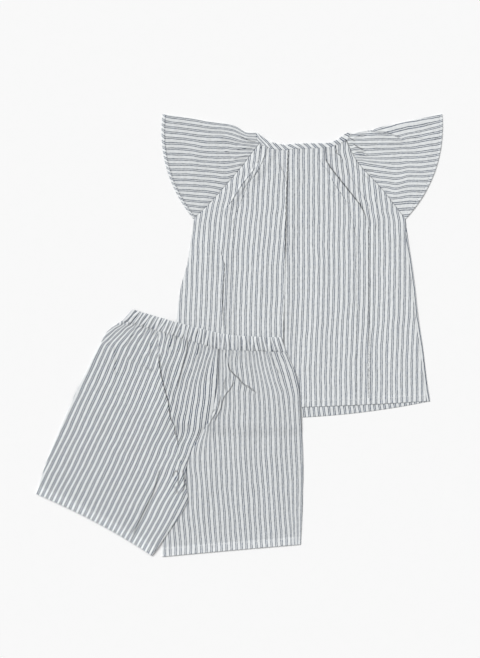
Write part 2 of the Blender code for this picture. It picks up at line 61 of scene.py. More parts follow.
def table(kind, *rows):
    """Rows of one kind."""
    return tuple(kind(*row) for row in rows)


# ---- heights of the layers
BACK_LEVEL = 0.25  # middle of the back cloth, which lies on the floor
FRONT_LEVEL = 1.5  # middle of the front cloth
SEAM_BACK_LEVEL = 0.5  # where the two meet at a side seam
SEAM_FRONT_LEVEL = 1.0
SEAM_FALL = 2.5  # the front comes down to a side seam over this much
TURN_UP = 0.5  # from a hem's outer cloth to the cloth turned up behind it
STACK = 2.6  # the shorts ride this much over the top, and the left leg over the right one
RAGLAN_GROOVE = 0.7
GROOVE_WIDTH = 1.6
RISE_GROOVE = 1.0  # depth of the groove at the seam between the two legs
BEND = 0.45  # radius of a pressed fold
BEND_STEPS = 5  # facets in each half turn of it
VALLEY = 1.25  # the cloth beside a fold swells by this much before it dips under it
VALLEY_PLACE = 2.3  # this far from the fold's edge
VALLEY_WIDTH = 1.35
VALLEY_FULL_DEPTH = 1.4  # and by all of it from this depth of fold on
SEAM_PLACES = (0.6, 1.3, 2.2)  # columns beside a seam, and on the upper cloth of a fold
UPPER_PLACES = (0.7, 1.8, 3.4)
VALLEY_PLACES = (0.35, 0.8, 1.3, 1.9, 2.6, 3.5, 4.8)  # columns that follow the dip, from the fold's edge
LEAST_BEND = 1.0  # shortest cloth in a half turn as the fold opens
LEAST_RUN = 0.2
OPENING = 1.2  # a fold less deep than this stands partly open
COVER = 1.0  # the upper cloth stays level this far past the hidden one
FOLD_SLOPE = 13.0  # and comes down over this much
MOUTH_SHADE = 0.4  # a fold's shade stays whole at least this far from its edge
MOUTH_SHADE_FADE = 0.9
MOUTH_FULL_DEPTH = 1.2  # and is whole from this depth of fold on
FOLD_SEARCH_PLACES = 181  # places tried along a row for where a fold crosses it
# Round a hem's edge: how far each row is from it, and its share of the way to the turned-up cloth.
HEM_EDGE = ((2.2, 0.0), (1.2, 0.0), (0.5, 0.0), (0.12, 0.2), (0.0, 0.5), (0.12, 0.8), (0.5, 1.0))
FLOOR_ROOM = 0.01  # the cloth's underside stays this far above the floor
SMOOTH_ANGLE = math.radians(62)  # edges flatter than this are shaded smooth
CRUMPLE = 0.8  # height of the cloth's unevenness
RELIEF_MARGIN = 9.0  # creases and crumple rise over this much inside an edge
SEAM_SHADE_REACH = 0.9  # a seam's line of painted shade fades over this much
FOLD_INSET = 0.25  # the outer fold of a sleeve or leg keeps this far inside its outline
FRONT_ROOM = 0.9  # the front cloth ends this far from the outline
BACK_ROOM = 2.5  # and the back cloth this far

# ---- the top
BindingSection = namedtuple("BindingSection", "low_x low_y high_x high_y bow", defaults=(0,))
BINDING_SECTIONS = table(
    BindingSection,
    (31.0, 297.0, 26.0, 313.5, 1.4),
    (38.0, 293.0, 31.5, 310.5, 1.0),
    (43.0, 291.0, 40.0, 303.5, 0.4),
    (49.0, 289.0, 49.0, 299.0),
    (61.0, 287.3, 61.0, 296.0),
    (74.0, 286.7, 73.0, 294.5),
    (83.0, 288.3, 80.0, 296.0),
    (110.0, 289.5, 110.0, 297.0),
    (137.0, 290.5, 137.0, 297.5),
    (148.0, 294.0, 150.0, 302.0),
    (156.0, 297.0, 160.0, 309.0),
    (165.0, 302.0, 168.0, 313.5),
    (168.5, 303.8, 172.2, 310.5),
)

# The body from neck to hem. The first seven rows end on the raglan seams, the rest on the side seams.
BodySection = namedtuple("BodySection", "left_x left_y right_x right_y bow neck_share", defaults=(0, 0))
BODY_SECTIONS = table(
    BodySection,
    (31, 297, 165, 302, 0, 1.0),
    (20, 283, 172, 288, 0, 0.7),
    (6, 264, 182, 270, 0, 0.4),
    (-10, 245, 196, 253, 0, 0.2),
    (-28, 224, 216, 232, 0, 0.1),
    (-50, 200, 237, 206),
    (-71, 180, 257, 180),
    (-75, 148, 261, 148),
    (-81, 110, 267, 110),
    (-91, 73, 272, 73),
    (-97, 27, 277, 27),
    (-104, -30, 284, -20),
    (-111, -78, 290, -70, -2, 0.0),
    (-117, -113, 295, -102, -4, 0.0),
)
BACK_HEM = BodySection(-117, -119, 295, -102, -17, 0.0)
UNDERARM = 6  # the row at which raglan and side seam meet
HEM_ROW = len(BODY_SECTIONS) - 1
HEM_RISE = 0.3  # cloth stands this much higher where it lies double
PUCKER = 0.22  # height of the small pulls along a hem's stitches
PUCKER_REACH = 5.0
MM_PER_HEM_ROW = 33.0  # length of the last row's span
FRONT_HEM_PALENESS = 0.25  # how far the front's hem shows the double cloth
NECKLINE_GAP = 0.3

# Folds that run down the front: where each lies, how much cloth is tucked under there, and how dark the
# painted shade at its mouth is.
FoldPoint = namedtuple("FoldPoint", "y x depth mouth", defaults=(1.0,))
OVER_RIGHT = 1  # the cloth on the right of the fold lies on top
OVER_LEFT = -1
LOWER_LEFT_TUCK = table(
    FoldPoint,
    (297, 36, 0.0, 0.4), (283, 33, 0.0, 0.4), (267, 28.5, 0.0, 0.4), (261, 27, 0.5, 0.4),
    (248.5, 17.5, 1.8, 0.25), (236, 7, 2.4, 0.6), (222.5, -1.5, 2.0, 0.3), (211.5, -8.5, 1.2, 0.8),
    (202.5, -14.5, 0.7, 0.9), (194, -22.5, 0.5, 1.1), (178.5, -21.5, 0.45, 1.3), (164, -22, 0.45, 1.4),
    (150, -27, 0.4, 0.6), (138, -30, 0.4, 0.7), (124.5, -26.5, 0.6, 1.4), (110, -22, 0.7, 1.6),
    (98, -22, 0.7, 1.7), (70, -24, 0.7, 2.2), (50, -24.5, 0.7, 2.2), (16, -23.5, 0.6, 1.7),
    (0.5, -22.5, 0.0, 0.3),
)
UPPER_LEFT_TUCK = table(
    FoldPoint,
    (300, 45, 5.0, 0.2), (286, 43, 4.5, 0.2), (280, 41.5, 4.2, 0.7), (269.5, 36.5, 3.6, 0.7),
    (258, 31.5, 2.2, 0.3), (247.5, 25, 1.0, 0.6), (238, 18.5, 0.4, 0.5), (229.5, 13, 0.0, 0.2),
    (180, -8, 0.0, 0.0),
)
CENTRE_PLEAT = table(
    FoldPoint,
    (293.5, 76.5, 8.8, 0.3), (280, 76, 8.6, 1.2), (265, 75.5, 8.5, 1.9), (240.5, 75, 8.2, 2.1),
    (203.5, 73.5, 7.2, 1.8), (166, 73, 5.3, 2.1), (140, 72.3, 4.1, 2.0), (124, 72, 3.6, 0.8),
    (92, 71.5, 2.9, 0.35), (54.5, 70.5, 2.1, 0.4), (35, 70, 1.8, 0.9), (20, 69.5, 1.7, 1.5),
    (-1, 69.5, 1.6, 1.9), (-24, 70, 1.4, 1.7), (-50, 68, 0.0, 0.0),
)
SECOND_RIGHT_TUCK = table(
    FoldPoint,
    (293.5, 121, 0.0), (271.5, 122, 0.0), (247, 140.5, 0.0), (241.5, 142, 0.5), (225, 152.5, 0.8),
    (207.5, 165, 0.6), (200, 168.5, 0.0), (150, 180, 0.0),
)
MAIN_RIGHT_TUCK = table(
    FoldPoint,
    (293.5, 132.5, 6.5, 0.2), (276, 132.5, 5.7, 0.35), (268, 135, 5.3, 1.6), (256.5, 142.5, 4.6, 2.0),
    (246, 151, 4.0, 2.0), (224.5, 168, 2.6, 2.1), (201, 187, 1.6, 1.8), (190, 192.5, 1.0, 1.3),
    (180, 196, 0.5, 0.8), (168, 199, 0.0, 0.0),
)
SHORT_RIGHT_CREASE = table(
    FoldPoint,
    (295, 148, 0.7, 1.2), (282.5, 149.5, 0.9, 1.4), (275.5, 157, 0.7, 1.3), (268, 161.5, 0.0, 0.0),
    (246, 170, 0.0), (224.5, 184, 0.0), (200, 200, 0.0), (140, 201, 0.0),
)
SOFT_RIGHT_FOLD = table(
    FoldPoint,
    (297, 158, 0.0), (283, 164, 0.0), (264, 174, 0.0), (250, 188, 0.0), (242, 200, 0.0),
    (234.5, 209, 0.4, 0.3), (226, 212.5, 0.5, 0.3), (175.5, 212.5, 0.5, 0.3), (147.5, 207, 0.25, 0.3),
    (54.5, 205.5, 0.2, 0.3), (-105, 210, 0.15, 0.3),
)
FRONT_FOLDS = (
    (LOWER_LEFT_TUCK, OVER_RIGHT),
    (UPPER_LEFT_TUCK, OVER_RIGHT),
    (CENTRE_PLEAT, OVER_RIGHT),
    (SECOND_RIGHT_TUCK, OVER_LEFT),
    (MAIN_RIGHT_TUCK, OVER_LEFT),
    (SHORT_RIGHT_CREASE, OVER_LEFT),
    (SOFT_RIGHT_FOLD, OVER_LEFT),
)
FOLD_WANDER = 0.22  # a pressed fold strays this much from its line, to and fro
FOLD_WANDER_LENGTH = 13.0
FRONT_COLUMNS = (24, 4, 26, 20, 5, 6, 6, 20)  # facets before, between and after the folds
FRONT_ROWS = 150
BACK_COLUMNS = 60
BACK_ROWS = 70
BACK_CLOTH_START = 262.0  # the stripes' distance at the back's right edge
BACK_HEM_EXTRA = 3.0  # the back's hem is turned up by this much more
STRIPES_FROM_FOLD = 2  # stripes are counted from the upper side of this fold
STRIPES_START = -2.7
FOLD_BEADS = 8.3  # the painted shade at a fold's mouth darkens and lightens a little along it, this far apart

# Stripes drift to the left by this much, down the front to the right of the pleat.
DRIFT = 5.0
DRIFT_TOP = 78.0
DRIFT_BOTTOM = -54.0
DRIFT_FROM_X = 72.0

# The back's cloth is rolled round the right side seam: how wide it shows at each height.
SEAM_ROLL = ((-102, 4.6), (-70, 4.4), (27, 4.2), (100, 3.8), (140, 3.0), (160, 1.4), (172, 0.0))
ROLL_OPEN = 1.5  # the roll is whole where it shows by this much
ROLL_TURN_COLUMNS = 6
ROLL_COLUMNS = 5
ROLL_RISE = 0.15  # it stands this much over the front
ROLL_EDGE_FALL = 0.35
COLUMN_ROOM = 0.01  # where there is no roll, its columns stay this far apart

CREASE_ENDS = 0.3  # a crease rises and dies over this share of its length
FOOT_WIDTH = 0.3  # the painted shade at its foot is whole this far from its line
FOOT_FADE = 0.9
SLIP_REACH = 9.0  # stripes have slipped up to about this far from it
# Creases: the points that each follows, its height, how far it spreads to either side, how dark the painted
# shade at its sharp foot is, and how far the stripes on its right side have slipped along the row.
Crease = namedtuple("Crease", "points height left_spread right_spread foot slip", defaults=(0.0, 0.0))
FRONT_CREASES = table(
    Crease,
    (((106, 178), (125, 80), (117, 3), (114, -50), (110, -95)), 1.1, 16.0, 9.0),
    (((-66, 155), (-41, 121), (-19, 101)), 0.9, 6.0, 9.0),
    (((-60, 110), (-52, 60), (-56, 20)), 0.6, 10.0, 12.0),
    (((-50, 162), (-46, 132), (-46, 96)), 1.7, 4.0, 7.0),
    (((20, 190), (34, 130), (30, 60), (36, 10)), 0.8, 12.0, 16.0),
    (((168, 150), (162, 60), (170, -30), (165, -100)), 0.7, 14.0, 12.0),
    (((244, 150), (240, 60), (246, -30), (252, -95)), 0.8, 9.0, 14.0),
    (((90, 283), (98, 220), (110, 160)), 0.7, 8.0, 10.0),
    (((104, 285), (112, 235), (122, 200)), 0.5, 5.0, 7.0),
    (((60, 286), (52, 250), (50, 215)), 0.6, 6.0, 8.0),
    (((50, 284), (44, 256)), 0.5, 4.0, 5.0),
    (((60, 268), (63, 262), (69, 250), (72, 236)), 0.5, 3.0, 2.5, 0.6, -0.8),
)
LEFT_SLEEVE_CREASES = table(
    Crease,
    (((27, 299), (14, 302), (2, 308), (-3, 313)), 0.8, 2.5, 4.0, 0.6, 1.2),
    (((25, 295), (12, 297), (-12, 302), (-41, 306)), 1.0, 4.0, 6.0, 0.2, -1.0),
    (((21, 289), (8, 289.5), (-6, 287)), 0.8, 2.5, 4.0, 0.5, 1.4),
    (((12, 279), (2, 276), (-12, 272)), 0.7, 2.5, 4.0, 0.35, -1.0),
    (((-16, 283), (-24, 284)), 0.5, 2.0, 3.0, 0.4, 0.8),
    (((-61, 300), (-72, 262), (-64, 212)), 0.9, 8.0, 12.0),
    (((0, 318), (-40, 322), (-90, 330)), 0.5, 4.0, 6.0),
    (((-96, 318), (-104, 290), (-98, 262)), 0.6, 7.0, 9.0),
)
RIGHT_SLEEVE_CREASES = table(
    Crease,
    (((170, 306), (174, 303.5), (179, 300)), 0.7, 2.0, 3.5, 0.7, 1.0),
    (((176, 297), (181, 293), (188, 289), (194, 289)), 0.9, 2.5, 4.0, 0.9, 1.6),
    (((177, 306), (182, 307.5), (189, 310), (197, 309.5)), 0.6, 2.0, 3.5, 0.5, -1.0),
    (((177, 287), (186, 285), (197, 285.5)), 0.7, 2.5, 4.0, 0.5, 1.2),
    (((183, 280), (191, 278.5), (201, 280)), 0.6, 2.5, 4.0, 0.35, -1.0),
    (((193, 257), (200, 256.5), (211, 255)), 0.6, 2.0, 3.5, 0.55, 1.0),
    (((200, 251), (206, 249), (215, 248)), 0.6, 2.0, 3.5, 0.35, 1.0),
    (((172, 299), (225, 297), (268, 292)), 0.9, 6.0, 9.0),
    (((224, 322), (262, 330), (312, 341)), 0.7, 4.0, 6.0),
    (((228, 240), (262, 232), (292, 226)), 0.7, 7.0, 9.0),
    (((190, 285), (220, 262), (240, 236)), 0.7, 6.0, 9.0),
    (((288, 318), (296, 290), (288, 262)), 0.6, 7.0, 9.0),
)

# The sleeves' shoulder folds from neck to tip, one row for each of the first seven body rows.
SleeveSection = namedtuple("SleeveSection", "shoulder_x shoulder_y bow")
LEFT_SLEEVE = table(
    SleeveSection,
    (26.0, 313.5, 1.4),
    (10.0, 314.5, 0.5),
    (-6.0, 323.5, 2.0),
    (-24.0, 328.0, 5.0),
    (-50.0, 331.5, 9.0),
    (-84.0, 337.5, 13.0),
    (-119.0, 342.5, 18.0),
)
RIGHT_SLEEVE = table(
    SleeveSection,
    (168.0, 313.5, 0.0),
    (184.0, 314.5, 0.0),
    (203.0, 317.5, -2.0),
    (219.0, 322.5, -5.0),
    (244.0, 327.5, -9.0),
    (278.0, 335.0, -13.0),
    (314.0, 342.5, -18.5),
)
MM_PER_SLEEVE_ROW = 31.0
SHOULDER_NOTCH = 0.6  # the right shoulder dips at this row, beside the binding's end
SHOULDER_NOTCH_DEPTH = 2.6
SHOULDER_GRAIN_FROM_X = 198.0  # the shoulder's own run of stripes starts here
PANEL_TURN_COLUMNS = 7  # round the outer fold of a sleeve or leg
SLEEVE_ROWS = 92
SLEEVE_COLUMNS = 84
SLEEVE_SEAM_SHARES = (0.0, 0.006, 0.013, 0.022, 0.035)  # columns beside the seam, as shares of the row
CREASED_SLEEVE_COLUMNS = (64, 20)  # below and above the pressed crease
SLEEVE_BACK_COLUMNS = 14
SLEEVE_HEM_DEPTH = 4.4
SLEEVE_HEM_PLACES = (9.0, 7.4, 6.2, 5.4, 4.9, 4.4, 3.8)  # rows across the rolled hem, from its edge
SLEEVE_PLAIN_END = 10.6  # the even rows end this far from the edge
NECK_GAP = 0.5
BINDING_COLUMNS = 111
BINDING_ROWS = 7
BINDING_TURN_COLUMNS = 7
BINDING_INSET = 0.5
BINDING_LOW = 0.72  # middle of the binding behind the neck edge
BINDING_HIGH = 1.95  # and in front of it
# The shoulder's top stripes turn down along this pressed crease of the right sleeve.
AcrossPoint = namedtuple("AcrossPoint", "x y depth mouth", defaults=(0.4,))
SHOULDER_CREASE = table(
    AcrossPoint,
    (199, 316.5, 0.0), (205.5, 315.5, 0.7), (228, 313.5, 1.3), (243.5, 307.5, 1.0), (250.5, 305, 0.5),
    (256.5, 304, 0.0),
)

# ---- the shorts
LegSection = namedtuple("LegSection", "inner_x inner_y outer_x outer_y bow", defaults=(0,))
LEFT_LEG = table(
    LegSection,
    (-31, -21.5, -181, 23),
    (-32, -45, -195, 14),
    (-33, -70, -207, 3),
    (-37, -95, -215, -12),
    (-44, -124, -226, -33),
    (-60, -155, -238, -58),
    (-77, -185, -250, -81),
    (-83, -210, -261, -106),
    (-83, -234, -272, -131),
    (-80, -254, -281, -152),
    (-91, -277, -291, -176, -1.0),
    (-106, -299, -300, -200, -2.0),
    (-121, -321, -308, -223, -3.0),
    (-136, -341, -315, -246, -4.5),
)
RIGHT_LEG = table(
    LegSection,
    (-31, -21.5, 73, -26),
    (-32, -45, 81, -45),
    (-33, -70, 89, -63),
    (-37, -95, 93, -88),
    (-44, -124, 95, -115),
    (-60, -155, 96, -141),
    (-77, -185, 98, -167),
    (-83, -210, 99, -195),
    (-83, -234, 99, -222),
    (-97, -254, 98, -243),
    (-108, -271, 98, -263),
    (-114, -295, 97, -284),
    (-119, -319, 96, -304),
    (-120, -343, 95, -324, 0.5),
)
CROTCH_ROW = 8
LEG_ROWS = 176
LEG_COLUMNS = 150
LEG_SEAM_SHARES = (0.0, 0.004, 0.01, 0.018, 0.03)
TUCKED_LEG_COLUMNS = (62, 92)  # on either side of the strong tuck
LEG_BACK_COLUMNS = 22
RISE_SHUT = -106.0  # the seam between the legs stands open above this
RISE_OPENS = 22.0  # and is wide open this much higher
STRONG_TUCK_MOUTH = 2.2  # how dark the painted shade at its mouth is, against the table's
LEG_GATHER_RISE = 1.7  # height of the gathers just below the waistband
LEG_GATHER_REACH = 9.0  # the shortest one fades over this much
LEG_GATHER_MORE_REACH = 13.0  # and the longest over this much more
WAVER = 3.4  # the gathers push the stripes to and fro within this much
WAVER_REACH = 26.0
RIGHT_LEG_STRIPES_START = -1.4  # added to the distances of the right leg's table
LEG_HEM_PALENESS = 2.5  # against the top's hem
MM_PER_LEG_ROW = 22.0
STRONG_TUCK = table(
    FoldPoint,
    (-14, -125.5, 0.0), (-32, -124.5, 0.0), (-40, -123.5, 0.7), (-47, -122.5, 2.4), (-65, -119.5, 4.5),
    (-85, -114.5, 4.8), (-106.5, -108.5, 4.0), (-121.5, -107, 2.8), (-134, -104, 2.4), (-140.5, -99, 2.0),
    (-151, -99, 1.6), (-158.5, -96, 1.0), (-176, -92.5, 0.4), (-186, -94, 0.0), (-260, -146, 0.0),
    (-341, -190, 0.0),
)
LEFT_LEG_CREASES = table(
    Crease,
    (((-122, -203), (-125, -213.5), (-133.5, -243), (-152.5, -282), (-167, -314), (-173, -326)),
        0.9, 2.0, 6.0, 1.1, -1.3),
    (((-80, -5), (-81.5, -23), (-86.5, -42), (-90.5, -58), (-94, -71), (-99, -92)),
        1.0, 2.5, 7.0, 1.3, -1.8),
    (((-62, -6), (-64.5, -22), (-69, -45)), 0.7, 2.5, 5.0, 0.3, 1.2),
    (((-200, 0), (-172, -22), (-143, -51)), 1.2, 5.0, 9.0),
    (((-165, 3), (-171, -9), (-179, -20)), 0.8, 2.5, 6.0, 0.5, -1.2),
    (((-195, -10), (-193.5, -27), (-192.5, -38), (-193, -50), (-192, -70)), 0.7, 2.5, 7.0, 0.4, 0.8),
    (((-184, -28), (-160, -42), (-133, -54)), 0.6, 2.5, 5.0, 0.12, 0.9),
    (((-139, -10), (-138, -21), (-140, -36)), 0.8, 2.5, 5.0, 0.4, -1.5),
    (((-145.5, -50), (-137, -54), (-130, -56)), 0.6, 2.0, 3.0, 0.4, 0.8),
    (((-123.5, -27), (-124, -38), (-121.5, -50)), 0.8, 2.0, 4.0, 0.6, 1.5),
    (((-103, -3), (-108, -14), (-106, -30)), 0.6, 2.0, 4.0, 0.35, 1.0),
    (((-52, -102), (-58, -132), (-70, -170)), 0.7, 7.0, 7.0, 0.15),
    (((-99, -176), (-91, -196), (-84, -205)), 0.7, 3.0, 5.0, 0.3, 1.0),
    (((-230, -75), (-222, -130), (-250, -200)), 0.9, 14.0, 12.0),
    (((-178, -80), (-180, -140), (-205, -200), (-225, -250)), 0.9, 14.0, 14.0),
    (((-88.5, -208), (-86, -218), (-85.5, -232), (-89, -248)), 1.0, 2.0, 4.0, 0.9, -1.2),
    (((-104, -222), (-99, -210), (-94, -216), (-95, -228), (-91, -240)), 0.9, 2.0, 3.0, 0.9, -1.2),
    (((-102, -232), (-97, -240), (-93, -247)), 0.8, 2.0, 3.5, 0.8, -1.5),
)
RIGHT_LEG_CREASES = table(
    Crease,
    (((-18, -40), (-15.5, -52), (-8, -61), (-1, -67), (5, -75), (14, -80), (21, -85), (31, -92)),
        1.2, 2.5, 8.0, 1.4, -3.0),
    (((-8, -70), (-13.5, -82), (-22.5, -93.5), (-26, -102), (-29, -114), (-33, -122), (-38, -133),
        (-40, -142)), 0.8, 4.0, 2.5, 0.95, -1.5),
    (((-28.5, -91), (-31, -104), (-34.5, -116), (-40, -126), (-46, -137), (-50, -150)),
        0.7, 3.0, 2.5, 0.9, -1.2),
    (((-36, -113), (-45, -123), (-49, -132), (-55, -138), (-58, -150)), 0.6, 3.0, 2.5, 0.7, -1.0),
    (((-20, -62), (-24, -76), (-20, -88)), 0.5, 2.0, 3.0, 0.6, -0.8),
    (((-18, -8), (-22, -24), (-20, -40)), 0.6, 2.5, 4.0, 0.4, 1.2),
    (((40, -40), (62, -80), (74, -130)), 0.8, 6.0, 9.0),
    (((46, -26), (54, -46), (64, -62)), 0.6, 3.0, 5.0, 0.4, -1.2),
    (((8, -110), (4, -180), (8, -260), (20, -316)), 0.8, 12.0, 12.0),
    (((58, -130), (52, -210), (60, -300)), 0.8, 12.0, 10.0),
    (((-46, -216), (-60, -250), (-58, -310)), 0.7, 9.0, 9.0),
    (((-82, -242), (-79, -252), (-79, -262)), 0.5, 2.0, 3.0, 0.5, 0.8),
)

WaistSection = namedtuple("WaistSection", "low_x low_y high_x high_y")
WAIST_SECTIONS = table(
    WaistSection,
    (-181.0, 23.0, -166.0, 40.0),
    (-106.0, 0.75, -98.0, 20.0),
    (-31.0, -21.5, -30.0, 2.6),
    (19.0, -23.7, 17.0, -2.2),
    (73.0, -26.0, 66.0, -4.0),
)
WAIST_MIDDLE = 0.585  # share of the waistband's front that lies over the left leg
WAIST_FRONT_LEVEL = 1.35
WAIST_BACK_LEVEL = 0.3
WAIST_END_RISE = 0.7  # the band's ends stand this much above its valleys
WAIST_TURN_COLUMNS = 9
WAIST_INSET = 0.4
WAIST_TRIM = 3  # columns of the front left out at each end, where it turns
WAIST_BACK_STEP = 12  # one column of the back for this many of the front
WAIST_GATHERS = 38
WAIST_GATHER_RISE = 2.3
WAIST_CLOTH = 7.85  # each gather takes up one repeat of the stripe
WAIST_CLOTH_START = -5.5  # so that the white lies on its ridge
WAIST_CROWDING = 0.4  # the white is crowded on to the ridge by this much
WAIST_COLUMNS = 9  # facets across one gather
WAIST_ROWS = 10  # facets from the band's lower edge to its upper one
DRAPE_LEVEL = 11.0
DRAPE_SLOPE = 20.0
LEG_LIFT_FROM = -165.0
LEG_LIFT_OVER = 52.0
LEG_DRAPE_LEVEL = 9.0
LEG_DRAPE_SLOPE = 34.0

# ---- how the stripes run
# Each line follows one stripe across a piece; cloth is the distance of that stripe over the flat cloth.
Grain = namedtuple("Grain", "cloth points")
LEFT_LEG_GRAIN = table(
    Grain,
    (0, ((-160.5, 16), (-169, 8.5), (-183, -7.5), (-193, -23), (-221, -85), (-242.5, -131.5),
        (-264.5, -178), (-287.5, -224.5), (-325, -300))),
    (32, ((-137, 14.5), (-141, 8.5), (-152, -10.5), (-165, -38.5), (-185, -85), (-207, -131.5),
        (-229.5, -178), (-252, -224.5), (-297, -314))),
    (67.5, ((-107, 6.5), (-113, -4.5), (-121, -23), (-146.5, -85), (-167.5, -131.5), (-189.5, -178),
        (-211.5, -224.5), (-262, -326))),
    (103, ((-76.5, -15), (-95.5, -54), (-112.5, -92.5), (-129.5, -131.5), (-150.5, -178), (-172, -224.5),
        (-230, -342))),
    (148, ((-61, -100.5), (-81.5, -139), (-98.5, -168.5), (-104.5, -187), (-114, -206), (-122, -224.5),
        (-140.5, -260), (-152.5, -285), (-185, -344))),
    (191.5, ((-28.5, -100.5), (-41, -131.5), (-56.5, -178), (-70.5, -220), (-80, -238.5), (-90.5, -260),
        (-104.5, -286.5), (-118, -310), (-141, -351))),
)
LEFT_LEG_CENTRE_GRAIN = table(
    Grain,
    (102.5, ((-100, -4.5), (-105.5, -26), (-113, -47.5), (-118.5, -66.5), (-126.5, -92.5),
        (-135.5, -123.5))),
    (147, ((-58, -4.5), (-63.5, -26), (-71.5, -52.5), (-78.5, -75.5), (-84.5, -100.5), (-90.5, -130),
        (-94.5, -153), (-101, -178))),
    (175.5, ((-39.5, -7.5), (-42.5, -26), (-49.5, -54), (-53.5, -77), (-55, -100.5), (-59, -131.5),
        (-63, -156), (-70, -178))),
    (191.5, ((-28.5, -7.5), (-32, -26), (-34, -85), (-41, -131.5), (-56.5, -178))),
)
CENTRE_GRAIN_ENDS = -135.0  # below this the two sides of the strong tuck run as one again
CENTRE_GRAIN_FADE = 40.0
RIGHT_LEG_GRAIN = table(
    Grain,
    (244, ((-127, -178), (-125, -224.5), (-121, -286.5), (-118.5, -330))),
    (285, ((-86, -178), (-83, -233.5), (-79.5, -286.5), (-76.5, -330))),
    (303, ((-56.5, -147), (-65, -170), (-68, -196.5), (-66, -224.5), (-62, -286.5), (-58.5, -330))),
    (330.5, ((-32, -26), (-32.5, -46), (-33.5, -77), (-39, -113), (-42, -131.5), (-40.5, -178),
        (-38, -224.5), (-33.5, -286.5), (-30.5, -330))),
    (364, ((-13, -4.5), (-11.5, -26), (-12.5, -46), (-8.5, -100.5), (-9.5, -131.5), (-7.5, -178),
        (-5, -224.5), (2.5, -330))),
    (397.5, ((13, -4.5), (16.5, -26), (18.5, -46), (25, -100.5), (26.5, -178), (36, -330))),
    (442.5, ((40.5, -4.5), (47.5, -26), (52.5, -46), (59.5, -69.5), (67.5, -100.5), (71.5, -178),
        (80.5, -330))),
    (469, ((64.5, -4.5), (73.5, -26), (83, -46), (90, -69.5), (94, -100.5), (97.5, -178), (98.5, -224.5),
        (96, -330))),
)
LEFT_SLEEVE_GRAIN = table(
    Grain,
    (0, ((-123, 342.5), (-80, 336.5), (-35, 329), (-13, 326.5), (-1, 321.5), (10, 314), (28.5, 313.5))),
    (25.5, ((-123, 316), (-84.5, 312), (-45, 308), (-22.5, 308), (8.5, 300), (28.5, 298))),
    (42, ((-123, 296), (-84.5, 295.5), (-53.5, 291), (-22.5, 289), (24, 287))),
    (59.5, ((-120, 278), (-84.5, 278), (-50, 274.5), (-22.5, 273), (8.5, 276))),
    (78.5, ((-117, 259), (-84.5, 259), (-50, 257), (-22.5, 254.5), (1, 259))),
    (97, ((-107.5, 240.5), (-73.5, 239.5), (-45, 237.5), (-22.5, 235), (-10, 238))),
    (115.5, ((-95.5, 222), (-73.5, 220.5), (-45, 218), (-27, 214))),
    (134, ((-84.5, 203.5), (-61, 200), (-39.5, 200))),
    (156.5, ((-76.5, 180), (-61, 179.5), (-53.5, 180))),
)
RIGHT_SLEEVE_GRAIN = table(
    Grain,
    (14.5, ((171.5, 312.5), (194.5, 314.5), (218, 314.5), (236.5, 313.5), (280, 319.5), (314, 327.5))),
    (24, ((171.5, 304.5), (241, 305), (256.5, 306.5), (272, 310), (287.5, 313), (314, 318))),
    (32.5, ((171.5, 296.5), (241, 297.5), (256.5, 299), (272, 300.5), (287.5, 303.5), (314, 308))),
    (51, ((179, 278), (225, 279), (256.5, 281), (270.5, 281), (289, 283), (311, 286))),
    (71, ((190, 268.5), (205.5, 265), (242.5, 260), (261, 262), (280, 262), (298.5, 264), (311, 266))),
    (92, ((214.5, 242), (242.5, 239.5), (261, 243), (280, 243), (295.5, 244))),
    (107.5, ((227, 227), (242.5, 224.5), (261, 228), (280, 228))),
    (124.5, ((239.5, 208), (261, 210), (273.5, 210))),
    (147, ((249, 180), (264.5, 180))),
)
RIGHT_SHOULDER_GRAIN = table(
    Grain,
    (0, ((171.5, 313.5), (190, 315.5), (205.5, 317), (211.5, 321), (233.5, 328), (255, 333.5), (313, 342),
        (320, 343))),
    (14.5, ((218, 304), (249, 312), (280, 319.5), (314, 327.5))),
    (24, ((241, 301), (256.5, 306.5), (272, 310), (287.5, 313), (314, 318))),
    (32.5, ((171.5, 288), (241, 293), (256.5, 299), (272, 300.5), (287.5, 303.5), (314, 308))),
    (51, ((179, 272), (256.5, 281), (270.5, 281), (289, 283), (311, 286))),
    (71, ((190, 262), (242.5, 262.5), (261, 262), (280, 262), (298.5, 264), (311, 266))),
    (92, ((214.5, 240), (242.5, 243.5), (261, 243), (280, 243), (295.5, 244))),
    (124.5, ((239.5, 212), (261, 210), (273.5, 210))),
)
BIAS_ANGLE = math.radians(42.4)  # the binding's stripes fall to the right at this slope

# ---- the colours and the light
WHITE_YARN = "#F0F3F4"
BLUE_GREY_YARN = "#374B69"
GREY_YARN = "#3F4B5E"
WHITE_THREAD = "#F4F5F5"
# The sleeve hems' thread: dark partly as the stitches' own colour, partly as painted shade along the stitch
# line.
BLUE_GREY_THREAD_WITH_PAINTED_SHADE = "#4A5569"
STITCH_HEIGHT = 0.34
STITCH_SHARE = 0.7  # of each pitch, the rest is the gap
FLOOR_PAINT = "#FCFCFC"
VIEW_CENTRE = (0.8, 9.6)
VIEW_HEIGHT = 1019.9  # millimetres of floor from the top of the camera's view to its bottom
FLOOR_SIZE = 12.0
LAMP_PLACE = (-1.35, 1.6, 2.33)
SENSOR_HEIGHT = 24.0


